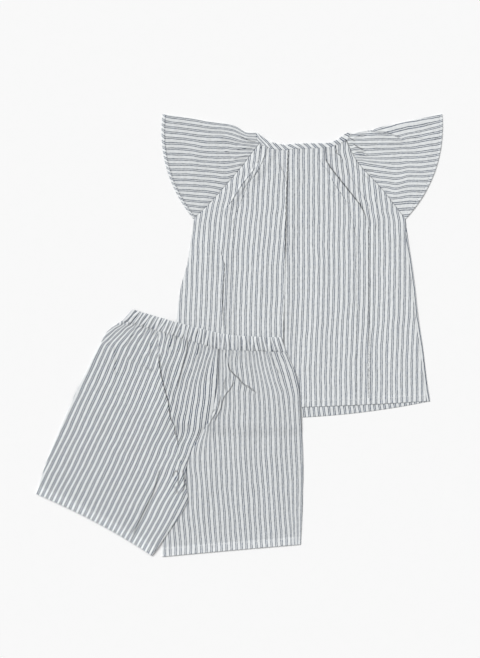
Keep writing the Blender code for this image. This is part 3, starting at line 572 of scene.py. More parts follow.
class ClothSettings(bpy.types.PropertyGroup):
    """How the cloth is woven and sewn."""

    thickness: FloatProperty(
        name="Cloth thickness", description="Thickness of the poplin with its nap", default=0.00045,
        min=0.0002, max=0.001, precision=5, unit="LENGTH")
    repeat: FloatProperty(
        name="Stripe repeat", description="From one pair of lines to the next", default=0.00785,
        min=0.003, max=0.03, precision=5, unit="LENGTH")
    line_width: FloatProperty(
        name="Line width", description="Width of each of the two lines of a stripe", default=0.00128,
        min=0.0003, max=0.004, precision=5, unit="LENGTH")
    line_spacing: FloatProperty(
        name="Line spacing", description="Between the middles of the two lines", default=0.0023,
        min=0.0005, max=0.006, precision=5, unit="LENGTH")
    hem_depth: FloatProperty(
        name="Hem depth", description="How far the top's hem is turned up inside", default=0.0105,
        min=0.006, max=0.02, precision=4, unit="LENGTH")
    leg_hem_depth: FloatProperty(
        name="Leg hem depth", description="How far the shorts' hems are turned up inside", default=0.0125,
        min=0.006, max=0.02, precision=4, unit="LENGTH")
    stitch_pitch: FloatProperty(
        name="Stitch pitch", description="Length of one stitch with its gap", default=0.003,
        min=0.002, max=0.006, precision=4, unit="LENGTH")
    ground: StringProperty(
        name="White yarn", description="Colour of the ground, as sRGB hex", default=WHITE_YARN)
    line: StringProperty(
        name="Blue-grey yarn", description="Colour of the lines, as sRGB hex", default=BLUE_GREY_YARN)
    faded_line: StringProperty(
        name="Grey yarn", description="Colour of the lines where less of the blue took, as sRGB hex",
        default=GREY_YARN)


class StageSettings(bpy.types.PropertyGroup):
    """The floor, the light and the camera."""

    floor: StringProperty(
        name="Floor", description="Colour of the floor, as sRGB hex", default=FLOOR_PAINT)
    height: FloatProperty(
        name="Camera height", description="Height of the camera above the floor", default=3.0,
        min=1.0, max=10.0, unit="LENGTH")
    sky: FloatProperty(
        name="Sky light", description="Strength of the even light from all round", default=0.42,
        min=0.0, max=5.0)
    lamp: FloatProperty(
        name="Soft light", description="Strength of the large far light from the upper left", default=2.34,
        min=0.0, max=20.0)
    softness: FloatProperty(
        name="Softness", description="How wide that light looks from the floor", default=math.radians(28),
        min=0.0, max=math.pi, subtype="ANGLE")


# ---- small helpers
def ease(share):
    """0 to 1 with a level start and end."""
    share = np.clip(share, 0.0, 1.0)
    return share * share * (3.0 - 2.0 * share)


def smooth_rows(rows, places):
    """Rows of a table at fractional places, on a smooth curve through them."""
    values = np.asarray(rows, float)
    places = np.asarray(places, float)
    last = len(values) - 1
    index = np.clip(places.astype(int), 0, last - 1)
    share = (places - index)[:, None]
    here, after = values[index], values[index + 1]
    before = np.where((index == 0)[:, None], 2 * here - after, values[np.maximum(index - 1, 0)])
    beyond = np.where((index == last - 1)[:, None], 2 * after - here, values[np.minimum(index + 2, last)])
    start, end = (after - before) / 2, (beyond - here) / 2
    square, cube = share**2, share**3
    return (
        (2 * cube - 3 * square + 1) * here
        + (cube - 2 * square + share) * start
        + (3 * square - 2 * cube) * after
        + (cube - square) * end
    )


def cornered_rows(rows, places, corner):
    """The same, with a corner left sharp at one row."""
    places = np.asarray(places, float)
    upper = smooth_rows(rows[: corner + 1], np.minimum(places, corner))
    lower = smooth_rows(rows[corner:], np.maximum(places - corner, 0.0))
    return np.where((places <= corner)[:, None], upper, lower)


def refined(points, steps=8):
    """A table of points with smooth steps between them."""
    count = (len(points) - 1) * steps + 1
    return smooth_rows(points, np.linspace(0, len(points) - 1, count))


def curve_value(points, at, key=0, value=1):
    """One column of a table of points as a smooth function of another."""
    line = refined([tuple(point) for point in points], 6)
    line = line[np.argsort(line[:, key], kind="stable")]
    return np.interp(at, line[:, key], line[:, value])


def unit(vectors):
    """The same directions at length 1."""
    return vectors / np.maximum(np.linalg.norm(vectors, axis=-1, keepdims=True), 1e-9)


def length_so_far(points):
    """The length along each row of points, from the row's first point to each."""
    steps = np.linalg.norm(np.diff(points, axis=-2), axis=-1)
    start = np.zeros((*steps.shape[:-1], 1))
    return np.concatenate([start, np.cumsum(steps, -1)], -1)


def with_height(spots, height):
    """Points from places on the floor and their heights."""
    return np.concatenate([spots, np.asarray(height)[..., None]], -1)


def half_turn(edge, inward, radius, inset, floor, count):
    """Points round a fold, from the upper cloth to the lower one at the floor. The fold keeps an inset
    inside the edge."""
    centre = edge + inward * (radius + inset)
    points = []
    for step in range(count):
        angle = math.pi * step / (count - 1)
        spot = centre - inward * radius * math.sin(angle)
        points.append(with_height(spot, floor + radius * (1 + math.cos(angle))))
    return np.stack(points, -2)


def on_row(start, end, bow, share):
    """Places at shares of the way along rows that bow to their left side."""
    along = end - start
    aside = unit(np.stack([-along[:, 1], along[:, 0]], -1))
    bulge = (4 * bow[:, None] * share * (1 - share))[..., None]
    return start[:, None] + along[:, None] * share[..., None] + aside[:, None] * bulge


def stripe_distance(grains, x, y, down=True):
    """The distance over the flat cloth at places, between the stripes of a table. Stripes run down the
    piece, or across it where down is False."""
    key, value = (1, 0) if down else (0, 1)
    across, along = (x, y) if down else (y, x)
    lines = [curve_value(grain.points, along, key, value) for grain in grains]
    sign = 1.0 if np.mean(lines[-1]) > np.mean(lines[0]) else -1.0
    total = None
    for index in range(len(grains) - 1):
        near, far = lines[index] * sign, lines[index + 1] * sign
        share = (across * sign - near) / np.maximum(far - near, 0.5)
        span = grains[index + 1].cloth - grains[index].cloth
        if index > 0:
            share = np.maximum(share, 0.0)
        if index < len(grains) - 2:
            share = np.minimum(share, 1.0)
        total = grains[0].cloth + share * span if total is None else total + share * span
    return total


def crease_relief(creases, x, y):
    """How much the creases lift the cloth at places, steep on one side and gentle on the other, how dark the
    shade painted at their feet is there, and how far the stripes have slipped."""
    total, foot, slip = np.zeros_like(x), np.zeros_like(x), np.zeros_like(x)
    place = np.stack([x, y], -1)
    for crease in creases:
        line = refined(crease.points, 5)
        steps = np.linalg.norm(np.diff(line, axis=0), axis=1)
        run = length_so_far(line)
        best = np.full(x.shape, 1e9)
        side = np.zeros_like(x)
        share = np.zeros_like(x)
        for index in range(len(line) - 1):
            along = (line[index + 1] - line[index]) / steps[index]
            offset = place - line[index]
            reach = np.clip(offset @ along, 0.0, steps[index])
            aside = offset - reach[..., None] * along
            distance = np.hypot(aside[..., 0], aside[..., 1])
            closer = distance < best
            best = np.where(closer, distance, best)
            side = np.where(closer, along[0] * offset[..., 1] - along[1] * offset[..., 0], side)
            share = np.where(closer, (run[index] + reach) / run[-1], share)
        spread = np.where(side > 0, crease.left_spread, crease.right_spread)
        taper = ease(share / CREASE_ENDS) * ease((1 - share) / CREASE_ENDS)
        total += crease.height * taper * np.exp(-((best / spread) ** 2))
        foot_taper = crease.foot * ease(share / 0.1) * ease((1 - share) / 0.25)
        foot += foot_taper * (1 - ease((best - FOOT_WIDTH) / FOOT_FADE))
        slip += crease.slip * taper * np.where(side > 0, 0.0, np.exp(-((best / SLIP_REACH) ** 2)))
    return total, foot, slip


def cloth_noise(x, y, scale, seed):
    """A smooth unevenness from 0 to 1 with bumps of a size in millimetres."""
    flat = [
        noise.noise(Vector((px / scale, py / scale, seed)))
        for px, py in zip(np.ravel(x).tolist(), np.ravel(y).tolist())
    ]
    return np.clip(0.5 + 0.7 * np.array(flat).reshape(np.shape(x)), 0.0, 1.0)


def unevenness(x, y, seed):
    """The crumple of soft cotton: broad swells with smaller ones on them."""
    swells = 0.55 * cloth_noise(x, y, 34.0, seed)
    return CRUMPLE * (swells + 0.3 * cloth_noise(x, y, 15.0, seed + 7.3))


# ---- pressed folds
def pressed_fold(depth, steps):
    """The cloth's middle line through one pressed fold in each row, from the lower cloth on the left to the
    upper one on the right: two half turns with a level run between. It opens to a low step as its depth
    runs out. Gives steps across and up from the fold's visible edge, and the length of cloth so far."""
    turn = np.pi * ease(depth / OPENING)
    run = np.maximum(depth - OPENING, 0.0) + LEAST_RUN
    step = np.maximum(BEND * turn, LEAST_BEND) / steps
    first = turn[:, None] * (np.arange(steps) + 0.5) / steps
    headings = np.concatenate([first, turn[:, None], first[:, ::-1]], 1)
    lengths = np.concatenate([np.repeat(step[:, None], steps, 1), run[:, None],
                              np.repeat(step[:, None], steps, 1)], 1)
    start = np.zeros((len(depth), 1))
    across = np.concatenate([start, np.cumsum(lengths * np.cos(headings), 1)], 1)
    up = np.concatenate([start, np.cumsum(lengths * np.sin(headings), 1)], 1)
    cloth = np.concatenate([start, np.cumsum(lengths, 1)], 1)
    edge = (across[:, -2] + across[:, -3]) / 2
    return across - edge[:, None], up, cloth


def spread_places(count, start, end, first, last):
    """Places across a stretch of each row: some at set distances near its two ends, the rest evenly
    between them. First and last hold the place that the distances count from, and the distances. Last is
    None where the stretch ends without them."""
    near = first[0][:, None]
    far = (last[0] if last else end)[:, None]
    head = np.array(first[1])[None]
    tail = np.array(last[1] if last else ())[None, ::-1]
    needed = head.max() + (tail.max() if last else 0.0) + 1.0
    squeeze = np.clip((far - near) / needed, 0.02, 1.0)
    head, tail = near + head * squeeze, far - tail * squeeze
    low = head[:, -1:]
    high = tail[:, :1] if last else end[:, None]
    middle = low + np.linspace(0.0, 1.0, count + 1)[None] * (high - low)
    parts = [start[:, None], head, middle[:, 1:]]
    if last:
        parts[-1] = parts[-1][:, :-1]
        parts += [tail, end[:, None]]
    return np.concatenate(parts, 1)


def valley(distance, depth):
    """The swell of the cloth beside a fold, and its dip at the fold's edge."""
    swell = np.exp(-(((distance - VALLEY_PLACE) / VALLEY_WIDTH) ** 2)) * (distance > 0)
    return VALLEY * ease(depth / VALLEY_FULL_DEPTH)[:, None] * swell


def folded_rows(length, folds, columns, steps=BEND_STEPS, seam_last=True):
    """Sections of cloth with their folds, from a seam to another seam or to an outer fold. Each fold is (at,
    depth, side, mouth), with a value for each row but for the side; mouth is how dark the painted shade at
    its mouth is. Gives how far along and up each point is, the length of cloth to it, the shade painted into
    and beside the folds, and which stretch each column is in: even numbers between the folds, and odd ones in
    them."""
    curves = []
    for at, depth, side, _ in folds:
        across, up, cloth = pressed_fold(depth, steps)
        if side == OVER_LEFT:
            across, up, cloth = -across[:, ::-1], up[:, ::-1], cloth[:, -1:] - cloth[:, ::-1]
        curves.append((at[:, None] + across, up, cloth, depth, side))
    place_parts, up_parts, cloth_parts, stretch = [], [], [], []
    start = np.zeros_like(length)
    cloth_so_far = np.zeros_like(length)
    for index, count in enumerate(columns):
        before = curves[index - 1] if index else None
        after = curves[index] if index < len(folds) else None
        end = after[0][:, 0] if after else length
        level_start = start + (before[3] + COVER if before and before[4] == OVER_RIGHT else 0.0)
        level_end = end - (after[3] + COVER if after and after[4] == OVER_LEFT else 0.0)
        last = None
        if before:
            first = (folds[index - 1][0], VALLEY_PLACES) if before[4] == OVER_LEFT else (start, UPPER_PLACES)
        else:
            first = (start, SEAM_PLACES)
        if after:
            last = (folds[index][0], VALLEY_PLACES) if after[4] == OVER_RIGHT else (end, UPPER_PLACES)
        elif seam_last:
            last = (end, SEAM_PLACES)
        places = spread_places(count, start, end, first, last)
        up = np.zeros_like(places)
        if before and before[4] == OVER_LEFT:
            up += valley(places - folds[index - 1][0][:, None], before[3])
        if after and after[4] == OVER_RIGHT:
            up += valley(folds[index][0][:, None] - places, after[3])
        slope = np.clip((level_end - level_start) * 0.75, 1.0, FOLD_SLOPE)[:, None]
        if before and before[4] == OVER_RIGHT:
            up += before[1][:, -1:] * (1 - ease((places - level_start[:, None]) / slope))
        if after and after[4] == OVER_LEFT:
            up += after[1][:, :1] * (1 - ease((level_end[:, None] - places) / slope))
        inside = places[:, 1:] if before else places
        inside_up = up[:, 1:] if before else up
        if after:
            inside, inside_up = inside[:, :-1], inside_up[:, :-1]
        place_parts.append(inside)
        up_parts.append(inside_up)
        cloth_parts.append(cloth_so_far[:, None] + inside - start[:, None])
        stretch += [2 * index] * inside.shape[1]
        if after:
            cloth_so_far = cloth_so_far + end - start
            place_parts.append(after[0])
            up_parts.append(after[1])
            cloth_parts.append(cloth_so_far[:, None] + after[2])
            stretch += [2 * index + 1] * after[0].shape[1]
            cloth_so_far = cloth_so_far + after[2][:, -1]
            start = after[0][:, -1]
    parts = [np.concatenate(part, 1) for part in (place_parts, up_parts, cloth_parts)]
    # Painted shade: on the cloth tucked under each fold, and on the lower cloth beside its edge, fading away
    # from it.
    painted_shade = np.zeros_like(parts[0])
    for index, (at, depth, side, mouth) in enumerate(folds):
        away = (at[:, None] - parts[0]) * side
        under = (np.array(stretch) == 2 * index + 1)[None] & (away < -0.3)
        lower = np.array(stretch) == (2 * index if side == OVER_RIGHT else 2 * index + 2)
        fade = ease((away - MOUTH_SHADE - 0.5 * mouth[:, None]) / MOUTH_SHADE_FADE)
        beside = np.where(lower[None], 1 - fade, 0.0)
        painted_shade += (mouth * ease(depth / MOUTH_FULL_DEPTH))[:, None] * np.where(under, 1.0, beside)
    return (*parts, np.clip(painted_shade, 0.0, 1.0), np.array(stretch))


def fold_shares(rows, points, down=True):
    """Where a fold crosses each row, as a share of the row, with its depth and how dark the painted shade at
    its mouth is there. Rows is a function that gives places at shares of the way along."""
    shares = np.linspace(0.0, 1.0, FOLD_SEARCH_PLACES)
    places = rows(shares)
    key, other = (1, 0) if down else (0, 1)
    line = np.array(sorted(tuple(point) for point in points))
    gap = places[..., other] - np.interp(places[..., key], line[:, 0], line[:, 1])
    sign = np.sign(gap[:, -1:] - gap[:, :1])
    passed = gap * sign >= 0
    index = np.clip(np.argmax(passed, 1), 1, len(shares) - 1)
    index = np.where(passed.any(1), index, len(shares) - 1)
    rows_index = np.arange(len(places))
    low, high = gap[rows_index, index - 1], gap[rows_index, index]
    part = np.clip(-low / np.where(np.abs(high - low) < 1e-9, 1e-9, high - low), 0.0, 1.0)
    found = shares[index - 1] + part * (shares[1] - shares[0])
    along = places[rows_index, index - 1, key] * (1 - part) + places[rows_index, index, key] * part
    return found, np.interp(along, line[:, 0], line[:, 2]), np.interp(along, line[:, 0], line[:, 3])


# ---- from a grid to a piece
def linear(hex_colour):
    """An sRGB hex colour as linear light."""
    channels = [int(hex_colour.lstrip("#")[index : index + 2], 16) / 255 for index in (0, 2, 4)]
    return tuple(c / 12.92 if c <= 0.04045 else ((c + 0.055) / 1.055) ** 2.4 for c in channels) + (1.0,)


def cloth_piece(name, grid, stripes, double, painted_shade, material, closed=False):
    """A piece of cloth from a grid of its middle points. Stripes holds the distance over the flat cloth,
    across the stripes and along them, double is 1 where the cloth lies double, and the last grid is how much
    shade is painted on the cloth, 1 deep in a fold. Closed is for a ring of cloth, whose two ends are merged."""
    thickness = bpy.context.scene.pyjama_cloth.thickness
    rows, columns = grid.shape[:2]
    grid[..., 2] = np.maximum(grid[..., 2], thickness / MM / 2 + FLOOR_ROOM)
    bpy.ops.object.select_all(action="DESELECT")
    bpy.ops.mesh.primitive_grid_add(
        x_subdivisions=columns - 1, y_subdivisions=rows - 1, size=1.0, calc_uvs=True)
    piece = bpy.context.object
    piece.name = name
    mesh = piece.data
    mesh.name = name
    if len(mesh.vertices) != rows * columns:
        raise RuntimeError(f"{name}: the grid has {len(mesh.vertices)} points, not {rows * columns}")
    mesh.vertices.foreach_set("co", (grid * MM).ravel())
    corners = np.empty(len(mesh.loops), dtype=np.int32)
    mesh.loops.foreach_get("vertex_index", corners)
    mesh.uv_layers[0].name = "cloth"
    mesh.uv_layers[0].data.foreach_set("uv", (stripes.reshape(-1, 2) * MM)[corners].ravel())
    for label, values in (("double", double), ("painted_shade", painted_shade)):
        layer = mesh.attributes.new(label, "FLOAT", "POINT")
        everywhere = np.broadcast_to(values, (rows, columns)).astype(np.float32)
        layer.data.foreach_set("value", everywhere.ravel())
    mesh.update()
    if closed:
        bpy.ops.object.mode_set(mode="EDIT")
        bpy.ops.mesh.select_all(action="SELECT")
        bpy.ops.mesh.remove_doubles(threshold=0.00001)
        bpy.ops.object.mode_set(mode="OBJECT")
    wall = piece.modifiers.new("Cloth thickness", "SOLIDIFY")
    wall.thickness = thickness
    wall.offset = 0.0
    wall.use_even_offset = False
    bpy.ops.object.modifier_apply(modifier=wall.name)
    bpy.ops.object.shade_smooth_by_angle(angle=SMOOTH_ANGLE)
    mesh.materials.clear()
    mesh.materials.append(material)
    return piece


def panel_piece(name, grid, stripes, shades, material, mirrored=False):
    """A piece from a grid whose rows run from its top to its hem. Stripes and shades are pairs: the cloth
    across and along the stripes, and double and the painted shade. Mirrored is for a grid whose columns run
    the other way."""
    columns = slice(None, None, -1 if mirrored else 1)
    parts = [part[::-1, columns] for part in (grid, np.stack(stripes, -1), *shades)]
    return cloth_piece(name, *parts, material)


def hem_steps(depth):
    """Rows at a hem: how far each is from the edge, and how far behind the outer cloth."""
    outside = [(distance, 0.0) for distance in (depth + 2.6, depth + 1.4, depth + 0.5, depth - 0.4)]
    middle = [(distance, 0.0) for distance in np.linspace(depth - 1.4, 3.6, max(int(depth / 2.4), 1))]
    inside = [(1.4, TURN_UP), (3.0, TURN_UP)]
    inside += [(distance, TURN_UP) for distance in np.linspace(5.0, depth, max(int(depth / 2.6), 2))]
    return outside + middle + [(distance, rise * TURN_UP) for distance, rise in HEM_EDGE] + inside


def behind_surface(surface, places, rises):
    """The surface's points at its rows, the shift that puts each row behind it by a distance, and the rest
    that the surface returns."""
    here, *rest = surface(places)
    before, *_ = surface(places - 0.02)
    down_row = here - before
    steps = np.diff(here, axis=1)
    along = np.concatenate([steps[:, :1], steps[:, 1:] + steps[:, :-1], steps[:, -1:]], 1)
    normals = unit(np.cross(down_row, along))
    return here, rises[:, None, None] * normals, rest


def hemmed(surface, last, mm_per_row, row_count, depth, corner):
    """A panel whose last rows are turned up behind it: its points, the shift that turns them up, the rest
    that the surface gives, where it lies double, and how far each row is from the edge and behind the
    cloth. One of the even rows falls on the corner."""
    steps = hem_steps(depth)
    plain_end = last - (steps[0][0] + 1.2) / mm_per_row
    plain = np.linspace(0.0, plain_end, row_count)
    plain[int(np.argmin(np.abs(plain - corner)))] = corner
    places = np.concatenate([plain, [last - distance / mm_per_row for distance, _ in steps]])
    rises = np.concatenate([np.zeros(row_count), [rise for _, rise in steps]])
    here, shift, rest = behind_surface(surface, places, rises)
    from_edge = (last - places) * mm_per_row
    double = (1 - ease((from_edge - depth) / 0.8))[:, None] * np.ones((1, here.shape[1]))
    return here, shift, rest, double, from_edge, rises


# ---- heights shared by the pieces
def neck_dip(share):
    """How far the neckline lies off the straight line between its ends."""
    first, last = BINDING_SECTIONS[0], BINDING_SECTIONS[-2]
    x = first.low_x + (last.low_x - first.low_x) * share
    straight = first.low_y + (last.low_y - first.low_y) * share
    return curve_value([(row.low_x, row.low_y) for row in BINDING_SECTIONS], x) - straight


def top_under(x, y):
    """How high the shorts ride at places, over the top that they lie on."""
    levels = [(row.left_y, row.left_x) for row in reversed(BODY_SECTIONS)]
    left_edge = np.interp(y, [level for level, _ in levels], [edge for _, edge in levels])
    rows = np.array([BACK_HEM], float)
    hem = on_row(rows[:, 0:2], rows[:, 2:4], rows[:, 4], np.linspace(0.0, 1.0, 24)[None])[0]
    hem_edge = np.interp(x, hem[:, 0], hem[:, 1])
    past = np.hypot(np.maximum(left_edge - x, 0.0), np.maximum(hem_edge - y, 0.0))
    return STACK * (1 - ease((past - DRAPE_LEVEL) / DRAPE_SLOPE))


def right_leg_edge(y):
    """The inner edge of the right leg at heights y."""
    ordered = RIGHT_LEG[::-1]
    return np.interp(y, [row.inner_y for row in ordered], [row.inner_x for row in ordered])


def left_leg_under(x, y):
    """The left leg's inner edge lies over the right leg from the crotch down."""
    inside = ease((x - right_leg_edge(y) + LEG_DRAPE_LEVEL + LEG_DRAPE_SLOPE) / LEG_DRAPE_SLOPE)
    return top_under(x, y) + STACK * inside * ease((LEG_LIFT_FROM - y) / LEG_LIFT_OVER)


def clear_of_shorts(x, y, over=9.0):
    """1 where the top lies free, 0 where the shorts lie on it, changing over a distance."""
    ordered = sorted(WAIST_SECTIONS, key=lambda row: row.high_x)
    band_top = np.interp(x, [row.high_x for row in ordered], [row.high_y for row in ordered])
    edges = [(row.outer_y, row.outer_x) for row in RIGHT_LEG]
    edges = sorted([*edges, (WAIST_SECTIONS[-1].high_y, WAIST_SECTIONS[-1].high_x)])
    leg_edge = np.interp(y, [level for level, _ in edges], [edge for _, edge in edges])
    return ease((np.maximum(y - band_top, x - leg_edge) + 1.0) / over)


# ---- making the top
def body_rows(places, back=False):
    """Both ends, the bow and the neck's share of the body's rows at fractional places."""
    sections = BODY_SECTIONS[:-1] + (BACK_HEM,) if back else BODY_SECTIONS
    rows = cornered_rows(sections, places, UNDERARM)
    return rows[:, 0:2], rows[:, 2:4], rows[:, 4], rows[:, 5]


def body_places(start, end, bow, neck_share, shares):
    """Places on body rows at shares of the way along them."""
    shares = np.broadcast_to(shares, (len(start), np.shape(shares)[-1]))
    places = on_row(start, end, bow, shares)
    places[..., 1] += neck_share[:, None] * (neck_dip(np.clip(shares, 0.0, 1.0)) - NECKLINE_GAP)
    return places


def front_surface(places):
    """The top's front at fractional rows: its points, the cloth across and along the stripes, and its
    shade."""
    start, end, bow, neck_share = body_rows(places)
    rolled = np.interp((start[:, 1] + end[:, 1]) / 2, *zip(*SEAM_ROLL))
    end = end - np.stack([rolled, np.zeros_like(rolled)], -1)
    length = np.linalg.norm(end - start, axis=1)
    folds = []
    level = (start[:, 1] + end[:, 1]) / 2
    for index, (points, side) in enumerate(FRONT_FOLDS):
        share, depth, mouth = fold_shares(lambda s: body_places(start, end, bow, neck_share, s), points)
        at = share * length + FOLD_WANDER * np.sin(level * math.tau / FOLD_WANDER_LENGTH + index)
        at = np.clip(at, 5 + 5 * index, length - 4 - 5 * (len(FRONT_FOLDS) - 1 - index))
        folds.append((at, depth, side, mouth * beads(level + 2.1 * index)))
    place, up, cloth, painted_shade, stretch = folded_rows(length, folds, FRONT_COLUMNS)
    spots = body_places(start, end, bow, neck_share, place / length[:, None])
    x, y = spots[..., 0], spots[..., 1]
    anchor = np.flatnonzero(stretch == 2 * STRIPES_FROM_FOLD + 1)[-1]
    across = cloth - cloth[:, anchor : anchor + 1] + spots[:, anchor : anchor + 1, 0] + STRIPES_START
    drift = ease((DRIFT_TOP - y) / (DRIFT_TOP - DRIFT_BOTTOM)) * ease((x - DRIFT_FROM_X) / 8.0)
    across = across + DRIFT * drift
    below_arm = np.clip(places - UNDERARM, 0.0, None)[:, None]
    from_left, from_right = place, length[:, None] - place
    nearest = np.minimum(from_left, from_right)
    on_side = ease(below_arm / 0.3)
    fall = on_side * (FRONT_LEVEL - SEAM_FRONT_LEVEL) * (1 - ease(from_left / SEAM_FALL))
    fall += (1 - on_side) * RAGLAN_GROOVE * (1 - ease(nearest / GROOVE_WIDTH))
    fall += 0.3 * on_side * (1 - ease(from_right / GROOVE_WIDTH))
    soft, foot, slip = crease_relief(FRONT_CREASES, x, y)
    soft = (soft + unevenness(x, y, 3.1)) * ease(nearest / RELIEF_MARGIN) * clear_of_shorts(x, y)
    lift = up * (0.35 + 0.65 * clear_of_shorts(x, y))
    at_neck = 0.4 * (1 - ease(places / 0.8))[:, None]
    z = FRONT_LEVEL + lift + soft - fall + at_neck
    # Painted shade: the folds' and creases' shade, left off under the shorts, with shade along the seams,
    # darker along the right raglan seam.
    raglan_right = (1 - on_side) * (1 - ease(from_right / SEAM_SHADE_REACH))
    seams = 0.4 * (1 - ease(nearest / SEAM_SHADE_REACH))
    painted_shade = (painted_shade + foot) * clear_of_shorts(x, y, 2.0) + seams + 0.8 * raglan_right
    return np.stack([x, y, z], -1), across + slip, -y, np.clip(painted_shade, 0.0, 1.0)


def beads(y):
    """How the painted shade at a fold's mouth darkens and lightens along it, round 1."""
    turns = y * math.tau
    return 1.0 + 0.3 * np.sin(turns / FOLD_BEADS) + 0.15 * np.sin(turns / (0.37 * FOLD_BEADS))


def hem_line(grid, from_edge, shown, distance):
    """The places on top of the cloth along a hem, in the shown row that is nearest to a distance from its
    edge."""
    row = int(np.argmin(np.where(shown, np.abs(from_edge - distance), 1000.0)))
    return grid[row] + (0.0, 0.0, bpy.context.scene.pyjama_cloth.thickness / MM / 2)


def hem_lift(from_edge, depth):
    """The outer cloth rises a little where it lies over its turned-up hem."""
    return HEM_RISE * (1 - ease((from_edge - depth) / 1.5))


def pucker(stripe, from_edge, depth, seed):
    """Small pulls in the cloth along a hem's row of stitches."""
    ripple = 0.5 + 0.5 * np.sin(stripe / 4.1 + 1.7 * np.sin(stripe / 23.0 + seed))
    return PUCKER * ripple * np.exp(-(((from_edge[:, None] - depth) / PUCKER_REACH) ** 2))


def make_top_front(material):
    """The front, and the line of its hem's stitches."""
    depth = bpy.context.scene.pyjama_cloth.hem_depth / MM
    points, shift, (across, down, painted_shade), double, from_edge, rises = hemmed(
        front_surface, HEM_ROW, MM_PER_HEM_ROW, FRONT_ROWS, depth, UNDERARM)
    free = clear_of_shorts(points[..., 0], points[..., 1])
    points[..., 2] += hem_lift(from_edge, depth)[:, None]
    points[..., 2] += pucker(across, from_edge, depth, 0.4) * free * (from_edge > -0.1)[:, None]
    grid = points - shift
    double = double * FRONT_HEM_PALENESS
    piece = panel_piece("top_front_panel", grid, (across, down), (double, painted_shade), material)
    return piece, hem_line(grid, from_edge, rises == 0, depth - 1.0)


def back_surface(places):
    """The top's back at fractional rows, with its right edge rolled on to the front."""
    start, end, bow, neck_share = body_rows(places, back=True)
    length = np.linalg.norm(end - start, axis=1)
    rolled = np.interp((start[:, 1] + end[:, 1]) / 2, *zip(*SEAM_ROLL))
    flat = np.concatenate([(0.0, 0.01, 0.02), np.linspace(0.035, 0.985, BACK_COLUMNS)])
    bend = (FRONT_LEVEL - BACK_LEVEL) / 2
    opened = ease(rolled / ROLL_OPEN)
    share = flat[None] * ((length - bend * opened) / length)[:, None]
    spots = body_places(start, end, bow, neck_share, share)
    from_left = share * length[:, None]
    level = BACK_LEVEL + (SEAM_BACK_LEVEL - BACK_LEVEL) * (1 - ease(from_left / SEAM_FALL))
    level += 0.45 * (1 - ease(places / 0.8))[:, None]
    cloth = with_height(spots, level)
    centre = end[:, 0] - bend * opened
    top_level = 2 * bend + ROLL_RISE
    slant = (end[:, 1] - start[:, 1]) / np.maximum(end[:, 0] - start[:, 0], 1.0)
    turn = []
    for step in range(1, ROLL_TURN_COLUMNS + 1):
        angle = math.pi * step / ROLL_TURN_COLUMNS
        x = centre + bend * opened * math.sin(angle) + COLUMN_ROOM * step * (1 - opened)
        rise = opened * top_level / 2 * (1 - math.cos(angle))
        turn.append(np.stack([x, end[:, 1] + (x - end[:, 0]) * slant, BACK_LEVEL + rise], -1))
    for step in range(1, ROLL_COLUMNS + 1):
        along = step / ROLL_COLUMNS
        x = centre - (rolled - bend * opened) * along - COLUMN_ROOM * step * (1 - opened)
        drop = opened * ROLL_EDGE_FALL * ease((along - 0.6) / 0.4)
        z = BACK_LEVEL + opened * top_level - drop
        turn.append(np.stack([x, end[:, 1] + (x - end[:, 0]) * slant, z], -1))
    points = np.concatenate([cloth, np.stack(turn, 1)], 1)
    run = length_so_far(points)
    edge = cloth.shape[1] - 1
    across = run - run[:, edge : edge + 1] + BACK_CLOTH_START
    return points, across, -points[..., 1]


def make_top_back(material):
    """The back, and the line of the stitches on its turned-up hem."""
    depth = bpy.context.scene.pyjama_cloth.hem_depth / MM + BACK_HEM_EXTRA
    points, shift, (across, down), double, from_edge, rises = hemmed(
        back_surface, HEM_ROW, MM_PER_HEM_ROW, BACK_ROWS, depth, UNDERARM)
    x, y = points[..., 0], points[..., 1]
    ripple = 0.25 * cloth_noise(x, y, 14.0, 5.5) + 0.2 * pucker(across, from_edge, depth, 1.4)
    points[..., 2] += (rises / TURN_UP)[:, None] * ripple * clear_of_shorts(x, y)
    grid = points + shift
    shades = (double, np.zeros_like(double))
    piece = panel_piece("top_back_panel", grid, (across, down), shades, material)
    return piece, hem_line(grid, from_edge, rises > TURN_UP * 0.99, depth - 1.5)


def plain_shares(near_seam, count, length):
    """Shares of the way across rows without a fold: some beside the seam, and the rest evenly up to where
    the outer fold starts."""
    base = np.concatenate([near_seam[:-1], np.linspace(near_seam[-1], 1.0, count)])
    return base[None] * (1 - FRONT_ROOM / length)[:, None]


def round_the_fold(points, across, front_count, direction):
    """The cloth across the stripes, carried on round the outer fold and over the back by its length."""
    run = length_so_far(points)
    edge = front_count + 2
    beyond = np.arange(points.shape[1])[None] > edge
    onward = across[:, edge : edge + 1] + direction * (run - run[:, edge : edge + 1])
    return np.where(beyond, onward, across)


def folded_panel(ends, level, front_shares, back_shares, up):
    """Points of a panel that is folded at its outer edge: its front cloth from the inner edge out, the
    fold, and its back cloth in again. Ends gives inner and outer places and the bow."""
    inner, outer, bow = ends
    front = on_row(inner, outer, bow, front_shares)
    near = on_row(inner, outer, bow, np.full((len(inner), 1), 0.95))[:, 0]
    over = level(front[..., 0], front[..., 1]) + FRONT_LEVEL + up
    floor = level(outer[:, 0], outer[:, 1]) + BACK_LEVEL
    radius = (FRONT_LEVEL - BACK_LEVEL) / 2
    fold = half_turn(outer, unit(near - outer), radius, FOLD_INSET, floor, PANEL_TURN_COLUMNS)
    back = on_row(inner, outer, bow, back_shares[:, ::-1])
    under = level(back[..., 0], back[..., 1]) + BACK_LEVEL
    return np.concatenate([with_height(front, over), fold, with_height(back, under)], 1)


